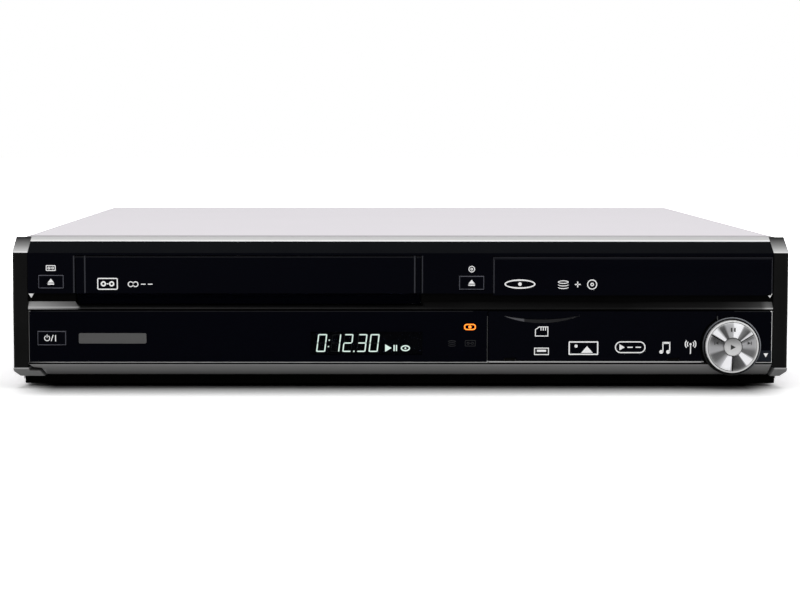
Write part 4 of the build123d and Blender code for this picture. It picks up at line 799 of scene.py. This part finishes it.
inks = {
    "white": printInk("whiteInk", grey(0.90), grey(1.0)),
    "grey": printInk("greyInk", (0.17, 0.17, 0.18, 1), (0.24, 0.24, 0.25, 1)),
    "dark": printInk("darkInk", (0.010, 0.010, 0.011, 1), (0.018, 0.018, 0.02, 1), 0.5),
    "dim": printInk("dimInk", (0.014, 0.015, 0.017, 1), (0.022, 0.022, 0.024, 1), 0.5),
}
lit = lampGlow("litSegment", (0.72, 0.92, 0.84, 1), (0.86, 1.0, 0.92, 1), 1.9)
amber = lampGlow("amberLamp", (1.0, 0.16, 0.01, 1), (1.0, 0.26, 0.03, 1), 2.6)


display = dict(
    text="0:12.30",
    unlit="8:88.88",
    left=-47.1,
    low=20.3,
    high=30.3,
    digit=5.1,
    gap=1.7,
    point=1.0,
    line=0.66,
    slant=7.0,
    colonIn=0.6,
    colonHeights=(3.0, 6.6),
    stopIn=0.5,
)
litBars = dict(zip("0123456789", ("abcdef", "bc", "abged", "abgcd", "fgbc", "afgcd", "afgedc", "abc", "abcdefg",
                                  "abcdfg")))


def digitShapes(symbol, left, low):
    # one seven-segment digit as six-sided bars
    w, h, t = display["digit"], display["high"] - display["low"], display["line"]
    half, thin = h / 2, t / 2
    middle, near, far = left + w / 2, left + thin, left + w - thin
    lying = {"a": (middle, low + h - thin), "g": (middle, low + half), "d": (middle, low + thin)}
    standing = {"f": (near, low + half * 1.5), "b": (far, low + half * 1.5), "e": (near, low + half / 2),
                "c": (far, low + half / 2)}
    shapes = []
    for key, (cx, cz) in lying.items():
        if key in litBars[symbol]:
            reach = w / 2 - t * 0.62
            short = reach - thin
            shapes.append([(cx - reach, cz), (cx - short, cz - thin), (cx + short, cz - thin),
                           (cx + reach, cz), (cx + short, cz + thin), (cx - short, cz + thin)])
    for key, (cx, cz) in standing.items():
        if key in litBars[symbol]:
            reach = half / 2 - t * 0.12
            short = reach - thin
            shapes.append([(cx, cz - reach), (cx + thin, cz - short), (cx + thin, cz + short),
                           (cx, cz + reach), (cx - thin, cz + short), (cx - thin, cz - short)])
    return shapes


def displayShapes(text):
    shapes = []
    left, low, t = display["left"], display["low"], display["line"]
    middle = display["gap"] / 2
    for symbol in text:
        if symbol == ":":
            for rise in display["colonHeights"]:
                shapes += bar(left - middle + display["colonIn"], low + rise, t, t)
            left += display["point"]
        elif symbol == ".":
            shapes += bar(left - middle + display["stopIn"], low + t / 2, t * 1.2, t * 1.2)
            left += display["point"]
        else:
            shapes += digitShapes(symbol, left, low)
            left += display["digit"] + display["gap"]
    shear = math.tan(math.radians(display["slant"]))
    return [[(x + (z - low) * shear, z) for x, z in shape] for shape in shapes]


tubeFace = faceOf("display_module")
unlit = printInk("unlitSegment", (0.010, 0.012, 0.011, 1), (0.018, 0.020, 0.019, 1), 0.5)
printPiece("display_unlit", displayShapes(display["unlit"]), tubeFace, unlit, "casing")
printPiece("display_digits", displayShapes(display["text"]), tubeFace, lit, "casing", 0.06)
tubeMarks = dict(play=(-6.8, 22.5), pause=((-3.6, 22.5), (-2.3, 22.5)), disc=(2.7, 22.4))
marks = triangle(*tubeMarks["play"], 3.6, 4.2, "right")
for place in tubeMarks["pause"]:
    marks += bar(*place, 0.7, 3.4)
marks += oval(*tubeMarks["disc"], 2.6, 1.7, 0.7) + disc(*tubeMarks["disc"], 0.5)
printPiece("display_marks", marks, tubeFace, lit, "casing", 0.05)
print("display made")

badgeMetal = brushed("badgeMetal", grey(0.09), grey(0.14), 0.2, 0.34)
tipGlint = brushed("tipGlint", grey(0.75), grey(0.95), 0.2, 0.3)
endHighlightInk = printInk("endHighlightInk", (0.028, 0.029, 0.036, 1), (0.040, 0.041, 0.050, 1), 0.3)
# inks for painted light on the flap: reflections on the scoop and a highlight on its foot
scoopHighlight = printInk("scoopHighlight", grey(0.065, (1, 1, 1.1)), grey(0.11, (1, 1, 1.1)), 0.3)
scoopFaintReflection = printInk("scoopFaintReflection", grey(0.012, (1, 1, 1.1)), grey(0.022, (1, 1, 1.1)), 0.3)
footGlintInk = printInk("footGlintInk", grey(0.36), grey(0.46), 0.3)
tileInk = printInk("tileInk", (0.006, 0.009, 0.016, 1), (0.010, 0.014, 0.022, 1), 0.35)


def ejectSign(cx, cz, size):
    return triangle(cx, cz + size * 0.17, size, size * 0.62) + bar(cx, cz - size * 0.36, size, size * 0.2)


def standbySign(cx, cz, size):
    # the standby ring, a stroke and the on bar
    shapes = arc(cx - size * 0.62, cz, size * 0.3, size * 0.4, 120, 420)
    shapes += bar(cx - size * 0.62, cz + size * 0.3, size * 0.1, size * 0.42)
    stroke = ((-0.13, -0.4), (-0.02, -0.4), (0.25, 0.45), (0.14, 0.45))
    shapes.append([(cx + size * right, cz + size * up) for right, up in stroke])
    return shapes + bar(cx + size * 0.52, cz, size * 0.12, size * 0.86)


def cassetteSign(cx, cz, width, line):
    shapes = boxLine(cx, cz, width, width * 0.58, width * 0.08, line)
    for side in (-1, 1):
        shapes += arc(cx + side * width * 0.2, cz, width * 0.06, width * 0.13)
    return shapes + bar(cx, cz, width * 0.1, line)


def discSign(cx, cz, size, line):
    return arc(cx, cz, size / 2 - line, size / 2) + arc(cx, cz, size * 0.08, size * 0.08 + line, steps=20)


def platterSign(cx, cz, size, line):
    # a stack of platters: a whole oval with two lower halves under it
    shapes = oval(cx, cz + size * 0.22, size / 2, size * 0.16, line)
    for level in (-0.02, -0.26):
        under = oval(cx, cz + size * level, size / 2, size * 0.16, line)
        shapes += under[len(under) // 2:]
    return shapes


def cardSign(cx, cz, width, line):
    height = width * 0.75
    outer = [(-0.5, -0.5), (0.5, -0.5), (0.5, 0.5), (-0.2, 0.5), (-0.5, 0.2)]
    shapes = []
    for side in zip(outer, outer[1:] + outer[:1]):
        ends = [(cx + px * width, cz + pz * height) for px, pz in side]
        inner = [(cx + px * (width - 2 * line), cz + pz * (height - 2 * line)) for px, pz in side]
        shapes.append([inner[0], ends[0], ends[1], inner[1]])
    for i in range(3):
        shapes += bar(cx + width * (-0.05 + 0.17 * i), cz + height * 0.25, width * 0.07, height * 0.3)
    return shapes


def portSign(cx, cz, width, line):
    height = width * 0.5
    return boxLine(cx, cz, width, height, 0.2, line) + bar(cx, cz + height * 0.08, width * 0.62, height * 0.28)


def waveSign(cx, cz, size, line):
    # an aerial with its waves
    shapes = bar(cx, cz - size * 0.15, line, size * 0.7) + disc(cx, cz + size * 0.28, size * 0.09, 16)
    for radius in (0.26, 0.42):
        for middle in (0, 180):
            reach = size * radius
            inner, outer = reach - line / 2, reach + line / 2
            shapes += arc(cx, cz + size * 0.28, inner, outer, middle - 42, middle + 42, 12)
    return shapes


def noteSign(cx, cz, size, line):
    # a pair of beamed notes
    shapes = []
    for head in (-0.32, 0.22):
        shapes += disc(cx + size * head, cz - size * 0.34, size * 0.15, 18)
        shapes += bar(cx + size * (head + 0.13), cz + size * 0.06, line, size * 0.78)
    return shapes + bar(cx + size * 0.08, cz + size * 0.38, size * 0.52, size * 0.16)


def pictureSign(cx, cz, width, line):
    height = width * 0.46
    shapes = boxLine(cx, cz, width, height, 0.5, line)
    shapes += triangle(cx + width * 0.12, cz - height * 0.1, width * 0.4, height * 0.5)
    return shapes + disc(cx - width * 0.25, cz + height * 0.15, height * 0.12, 16)


keyMarks = {
    "power_key": ("power", standbySign, 4.1),
    "eject_key": ("eject", ejectSign, 3.6),
    "open_close_key": ("open_close", ejectSign, 3.6),
}
for node, (body, sign, size) in keyMarks.items():
    middle = middleOf(node) / mm
    shapes = sign(middle.x, middle.z, size)
    printPiece(node + "_sign", shapes, faceOf(node), inks["white"], body)

panelFace = faceOf("upper_panel")
doorFace = faceOf("cassette_door")
trayFace = faceOf("tray_front")
flapFace = faceOf("front_flap")
paneFace = faceOf("lower_panel")

captions = {
    "eject_caption": ("eject_key", cassetteSign, 5.4),
    "open_caption": ("open_close_key", discSign, 3.6),
}
captionPlace = dict(rise=7.6, line=0.45)
for name, (node, sign, size) in captions.items():
    middle = middleOf(node) / mm
    shapes = sign(middle.x, middle.z + captionPlace["rise"], size, captionPlace["line"])
    printPiece(name, shapes, panelFace, inks["white"], "casing")

# each sign with its place, its size and its line
doorPrint = dict(cassette=(-162.4, 58.6, 11.4, 0.6), rings=(-149.6, -146.9), bars=(-142.6, -138.8), z=58.4)
doorMarks = cassetteSign(*doorPrint["cassette"])
for x in doorPrint["rings"]:
    doorMarks += arc(x, doorPrint["z"], 1.1, 1.6)
for x in doorPrint["bars"]:
    doorMarks += bar(x, doorPrint["z"], 2.6, 0.5)
printPiece("door_marks", doorMarks, doorFace, inks["white"], "door")

trayPrint = dict(
    oval=(66.0, 58.6, 8.6, 2.6, 0.8),
    middle=(66.0, 58.6, 1.0),
    platters=(90.0, 58.4, 6.0, 0.5),
    cross=((98.0, 58.4, 3.2, 0.6), (98.0, 58.4, 0.6, 3.2)),
    disc=(106.0, 58.4, 5.6, 0.55),
)
trayMarks = oval(*trayPrint["oval"]) + disc(*trayPrint["middle"]) + platterSign(*trayPrint["platters"])
for stroke in trayPrint["cross"]:
    trayMarks += bar(*stroke)
trayMarks += discSign(*trayPrint["disc"])
printPiece("tray_marks", trayMarks, trayFace, inks["white"], "tray")

flapPrint = dict(
    card=(78.2, 32.2, 7.4, 0.5),
    port=(78.2, 21.1, 8.2, 0.5),
    picture=(101.5, 22.9, 16.5, 0.7),
    box=(127.5, 23.4, 17.0, 6.6, 3.2, 0.6),
    arrow=(123.0, 23.4, 3.0, 3.4, "right"),
    bars=((127.4, 23.4, 3.0, 0.6), (132.0, 23.4, 3.0, 0.6)),
    notes=(147.0, 23.2, 7.0, 0.6),
    waves=(161.0, 23.2, 7.0, 0.6),
)
flapMarks = cardSign(*flapPrint["card"]) + portSign(*flapPrint["port"]) + pictureSign(*flapPrint["picture"])
flapMarks += boxLine(*flapPrint["box"]) + triangle(*flapPrint["arrow"])
for stroke in flapPrint["bars"]:
    flapMarks += bar(*stroke)
flapMarks += noteSign(*flapPrint["notes"]) + waveSign(*flapPrint["waves"])
printPiece("flap_marks", flapMarks, flapFace, inks["white"], "flap")

panePrint = dict(
    lamp=(38.4, 34.7, 6.6, 3.4, 1.6, 0.6),
    lampMiddle=(38.4, 34.7, 0.8),
    platters=(28.4, 25.6, 4.4, 0.45),
    cassette=(38.6, 25.6, 6.0, 0.4),
    arrow=(202.9, 18.9, 2.6, 2.3, "down"),
    tile=(202.2, 18.6, 7.6, 6.0),
)
lampMarks = boxLine(*panePrint["lamp"]) + disc(*panePrint["lampMiddle"])
printPiece("amber_lamp", lampMarks, paneFace, amber, "casing")
dimMarks = platterSign(*panePrint["platters"]) + cassetteSign(*panePrint["cassette"])
printPiece("dim_lamps", dimMarks, paneFace, inks["dim"], "casing")
keyDark = printInk("keyDark", grey(0.03), grey(0.06), 0.4)
dialMarks = {
    "dial_key_centre": ("dial_centre", triangle(0, 0, 2.8, 3.0, "right"), 0.0, 0.0),
    "dial_key_top": ("dial_top", bar(-0.9, 0, 0.8, 2.2) + bar(0.9, 0, 0.8, 2.2), 0.0, 9.6),
    "dial_key_left": ("dial_left", triangle(0, 0, 1.6, 1.8, "left") + bar(-1.2, 0, 0.4, 1.8), -8.9, 2.2),
    "dial_key_right": ("dial_right", triangle(0, 0, 1.6, 1.8, "right") + bar(1.2, 0, 0.4, 1.8), 8.9, 2.2),
}
dialMiddle = middleOf("dial_rims") / mm
for node, (body, shapes, right, up) in dialMarks.items():
    moved = [[(x + dialMiddle.x + right, z + dialMiddle.z + up) for x, z in shape] for shape in shapes]
    printPiece(node + "_sign", moved, faceOf(node), keyDark, body, 0.02)
printPiece("pane_arrow", triangle(*panePrint["arrow"]), paneFace, inks["white"], "casing")
print("prints made")


# painted highlights: two bright triangles at the ends of the groove's chamfer stand in for its glints
tips = dict(width=2.9, top=53.2, low=50.9, inset=0.4, depth=1.4)
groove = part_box("upper_panel")[1].x / mm
for side, name in ((-1, "left_tip_glint"), (1, "right_tip")):
    outer = side * (groove - tips["inset"])
    inner = outer - side * tips["width"]
    shape = [(outer, tips["top"]), (inner, tips["top"]), ((outer + inner) / 2, tips["low"])]
    back = panelFace + tips["depth"] * mm
    printPiece(name, [shape], back, tipGlint, "casing", tips["depth"])
film = 0.02
printPiece("arrow_tile", bar(*panePrint["tile"]), paneFace, tileInk, "casing", film)

# painted reflections on the flap's finger scoop, and a painted highlight along its foot
scoop = dict(mid=77.8, half=20.7, top=40.8, lowDrop=3.9, highDrop=2.0, steps=24, split=-0.45)


def scoopShapes(start, end):
    # slices of the crescent between two places across it, from -1 to 1
    shapes = []
    count = scoop["steps"]
    for step in range(count):
        a, b = (start + (end - start) * k / count for k in (step, step + 1))
        corners = [(a, "lowDrop"), (b, "lowDrop"), (b, "highDrop"), (a, "highDrop")]
        shape = [(scoop["mid"] + u * scoop["half"], scoop["top"] - (1 - u * u) * scoop[drop])
                 for u, drop in corners]
        shapes.append(list(dict.fromkeys(shape)))
    return shapes


scoopLeft, scoopRight = scoopShapes(-1.0, scoop["split"]), scoopShapes(scoop["split"], 1.0)
printPiece("scoop_left", scoopLeft, flapFace, scoopHighlight, "flap", film)
printPiece("scoop_right", scoopRight, flapFace, scoopFaintReflection, "flap", film)
footHighlight = dict(left=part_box("front_flap")[0].x / mm + 0.2, right=167.0, z=15.2, height=0.7)
footHighlightLine = bar((footHighlight["left"] + footHighlight["right"]) / 2, footHighlight["z"], footHighlight["right"] - footHighlight["left"], footHighlight["height"])
printPiece("flap_foot_highlight", footHighlightLine, flapFace, footGlintInk, "flap", film)

# painted highlights on the rounded ends of the cassette door and its opening
endHighlights = dict(
    low=53.6,
    high=74.2,
    door=((-174.9, 0.75), (7.7, 0.75)),
    opening=((-180.95, 0.75), (11.95, 0.6)),
)


def lineShapes(places):
    middle, height = (endHighlights["low"] + endHighlights["high"]) / 2, endHighlights["high"] - endHighlights["low"]
    return [face for x, width in places for face in bar(x, middle, width, height)]


printPiece("door_highlights", lineShapes(endHighlights["door"]), doorFace, endHighlightInk, "door", film)
printPiece("opening_highlights", lineShapes(endHighlights["opening"]), panelFace, endHighlightInk, "casing", film)

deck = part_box("deck_chassis")
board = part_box("power_board")
shadeSheet = dict(thick=0.0006, fold=0.006, side=0.004, low=0.034, top=0.0815)


def shadeSheetPiece():
    # a black sheet put between the deck and the power board as painted shade, so that the gap over the door
    # stays dark, folded over at its top
    y = (deck[1].y + board[0].y) / 2
    left, right = board[0].x + shadeSheet["side"], deck[1].x + shadeSheet["side"]
    low, top, thick, fold = (shadeSheet[key] for key in ("low", "top", "thick", "fold"))
    profile = [(0, low), (0, top), (fold, top), (fold, top - thick), (thick, top - thick), (thick, low)]
    mesh = bmesh.new()
    ends = [[mesh.verts.new((x, y + dy, z)) for dy, z in profile] for x in (left, right)]
    mesh.faces.new(ends[0])
    mesh.faces.new(list(reversed(ends[1])))
    for i in range(len(profile)):
        j = (i + 1) % len(profile)
        mesh.faces.new((ends[0][j], ends[0][i], ends[1][i], ends[1][j]))
    pieceFrom("power_shade_sheet", mesh, finishes["part_black"], "casing")


shadeSheetPiece()


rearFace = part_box("rear_panel")[1].y + 0.03 * mm
rear = dict(
    ringColumns=(136, 151),
    ring=(4.4, 6.2),
    waves=((166.5, 24), (166.5, 48)),
    wideColumns=(40, 96),
    wideBox=(28, 51.5, 21.5, 2.0, 0.5),
    wideArrow=(42.2, 3.0, 2.4, "down"),
    phonoBox=(143.5, 36, 31.0, 43.5, 2.0, 0.4),
    mains=((-186.3, 0), (-183.5, 180)),
    mainsHeight=47.5,
)
ringInks = {
    50: printInk("yellowRing", (0.62, 0.42, 0.02, 1), (0.74, 0.52, 0.03, 1)),
    36: printInk("whiteRing", grey(0.62), grey(0.74)),
    22: printInk("redRing", (0.42, 0.012, 0.010, 1), (0.54, 0.02, 0.016, 1)),
}
for height, ink in ringInks.items():
    rings = [face for x in rear["ringColumns"] for face in arc(x, height, *rear["ring"])]
    printPiece(f"socket_ring_{height}", rings, rearFace, ink, "casing")
plate = dict(x=92.0, z=58.0, width=50.0, height=17.0, rows=(26, 20, 30, 16), rowIn=22, rowTop=4.8, rowStep=3.2,
             squareIn=18, squares=(7, 4))
platePaper = printInk("platePaper", grey(0.5), grey(0.58), 0.5)
plateLoop = roundLoop(plate["x"], plate["z"], plate["width"], plate["height"], 1.2)
printPiece("rating_plate", [plateLoop], rearFace, platePaper, "casing")
rearMarks = boxLine(plate["x"], plate["z"], plate["width"] - 2, plate["height"] - 2, 0.8, 0.3)
for row, length in enumerate(plate["rows"]):
    up = plate["rowTop"] - row * plate["rowStep"]
    rearMarks += bar(plate["x"] - plate["rowIn"] + length / 2, plate["z"] + up, length, 0.7)
for side in plate["squares"]:
    rearMarks += boxLine(plate["x"] + plate["squareIn"], plate["z"], side, side, 0.2, 0.5)
printPiece("rear_plate_marks", rearMarks, rearFace + 0.02 * mm, inks["dark"], "casing")
rearSigns = boxLine(*rear["phonoBox"])
for place in rear["waves"]:
    rearSigns += waveSign(*place, 6.0, 0.5)
for x in rear["wideColumns"]:
    rearSigns += boxLine(x, *rear["wideBox"]) + triangle(x, *rear["wideArrow"])
for x, start in rear["mains"]:
    rearSigns += arc(x, rear["mainsHeight"], 1.1, 1.7, start, start + 180, 14)
printPiece("rear_signs", rearSigns, rearFace, inks["dark"], "casing")


# a plain badge on the lower pane
badge = dict(left=-178.5, right=-141.0, low=25.4, high=31.2, radius=0.9, thick=0.35, bevel=0.00012)
badgeLoop = roundLoop((badge["left"] + badge["right"]) / 2, (badge["low"] + badge["high"]) / 2,
                      badge["right"] - badge["left"], badge["high"] - badge["low"], badge["radius"])
badgePiece = printPiece("front_badge", [badgeLoop], paneFace, badgeMetal, "casing", badge["thick"])
badgeBevel = badgePiece.modifiers.new("bevel", "BEVEL")
badgeBevel.width = badge["bevel"]
badgeBevel.segments = 2
print("small parts made")


studio = dict(
    floor=6.0,
    nearFloor=0.45,
    floorTone=0.8,
    floorShown=1.3,
    floorAway=4.0,
    shade=0.03,
    shadeDepth=1.9,
    shadeFrom=-0.135,
    shadeSide=0.213,
    shadeFadeY=0.01,
    shadeFadeX=0.02,
    floorMirrored=0.12,
    sky=0.45,
    mirrorLow=0.10,
    mirrorBack=0.95,
)


def floorMaterial():
    # white to the camera with a painted contact shadow in front of the object, pale to the light and dim in the
    # gloss of the front
    floor = bpy.data.materials.new("studioFloor")
    floor.use_nodes = True
    graph = Graph(floor.node_tree)
    graph.tree.nodes.clear()
    path = graph.tree.nodes.new("ShaderNodeLightPath")
    coords = graph.tree.nodes.new("ShaderNodeTexCoord")
    x, y = graph.parts(Sock(graph.tree, coords.outputs["Object"]))[:2]
    near = studio["nearFloor"]
    away = (((x * x + y * y) ** 0.5 - near) / near).clamped()
    # painted shadow: ambient occlusion darkens the floor just in front of the object, for the camera only
    occludedShadow = 1 - graph.node("ShaderNodeAmbientOcclusion", {}, {"Distance": studio["shade"]}, 1)
    inFront = ((studio["shadeFrom"] - y) / studio["shadeFadeY"]).clamped()
    between = ((studio["shadeSide"] - x.size()) / studio["shadeFadeX"]).clamped()
    clear = (1 - occludedShadow * (inFront * between)) ** studio["shadeDepth"]
    shaded = graph.blend(clear, grey(0.0), grey(studio["floorShown"]))
    # painted shade: the floor's tone is lower near the object than far away, which deepens its shadow there
    shown = graph.blend(away, shaded, grey(studio["floorAway"]))
    plain = graph.blend(Sock(graph.tree, path.outputs["Is Glossy Ray"]), grey(studio["floorTone"]),
                        grey(studio["floorMirrored"]))
    colour = graph.blend(Sock(graph.tree, path.outputs["Is Camera Ray"]), plain, shown)
    shade = graph.node("ShaderNodeBsdfDiffuse", {}, {"Color": colour})
    graph.node("ShaderNodeOutputMaterial", {}, {"Surface": shade}, None)
    return floor


def floorPiece():
    half = studio["floor"]
    data = bpy.data.meshes.new("studio_floor")
    corners = [(-half, -half, 0), (half, -half, 0), (half, half, 0), (-half, half, 0)]
    data.from_pydata(corners, [], [(0, 1, 2, 3)])
    data.materials.append(floorMaterial())
    floor = bpy.data.objects.new("studio_floor", data)
    scene.collection.objects.link(floor)


def skyWorld():
    # plain white to the camera, even soft light, and for mirrors a bright wall at the back only
    world = bpy.data.worlds.new("studio")
    world.use_nodes = True
    scene.world = world
    graph = Graph(world.node_tree)
    graph.tree.nodes.clear()
    path = graph.tree.nodes.new("ShaderNodeLightPath")
    coords = graph.tree.nodes.new("ShaderNodeTexCoord")
    y = graph.parts(Sock(graph.tree, coords.outputs["Generated"]))[1]
    towardsBack = ((y - 0.35) * 3.0).clamped()
    seen = Sock(graph.tree, path.outputs["Is Camera Ray"])
    seen = seen.sums("MAXIMUM", seen, Sock(graph.tree, path.outputs["Is Transmission Ray"]))
    mirrored = Sock(graph.tree, path.outputs["Is Glossy Ray"])
    mirror = studio["mirrorLow"] + towardsBack * (studio["mirrorBack"] - studio["mirrorLow"])
    level = seen + (1 - seen) * (mirrored * mirror + (1 - mirrored) * studio["sky"])
    sky = graph.node("ShaderNodeBackground", {}, {"Color": (1, 1, 1, 1), "Strength": level})
    graph.node("ShaderNodeOutputWorld", {}, {"Surface": sky}, None)


def softLight(name, place, aim, size, power):
    data = bpy.data.lights.new(name, "AREA")
    data.shape = "RECTANGLE"
    data.size, data.size_y = size
    data.energy = power
    lamp = bpy.data.objects.new(name, data)
    lamp.location = place
    lamp.rotation_euler = (Vector(aim) - Vector(place)).to_track_quat("-Z", "Y").to_euler()
    lamp.visible_glossy = False
    scene.collection.objects.link(lamp)


floorPiece()
skyWorld()
lamps = {
    "top_light": ((0.0, -0.1, 1.6), (0, 0, 0), (1.6, 1.2), 11),
    "front_light": ((-0.5, -1.7, 0.9), (0, 0, 0.04), (1.0, 0.9), 9),
    "right_light": ((1.5, -0.6, 0.6), (0, 0, 0.04), (0.7, 1.0), 4),
}
for name, (place, aim, size, power) in lamps.items():
    softLight(name, place, aim, size, power)
print("studio made")
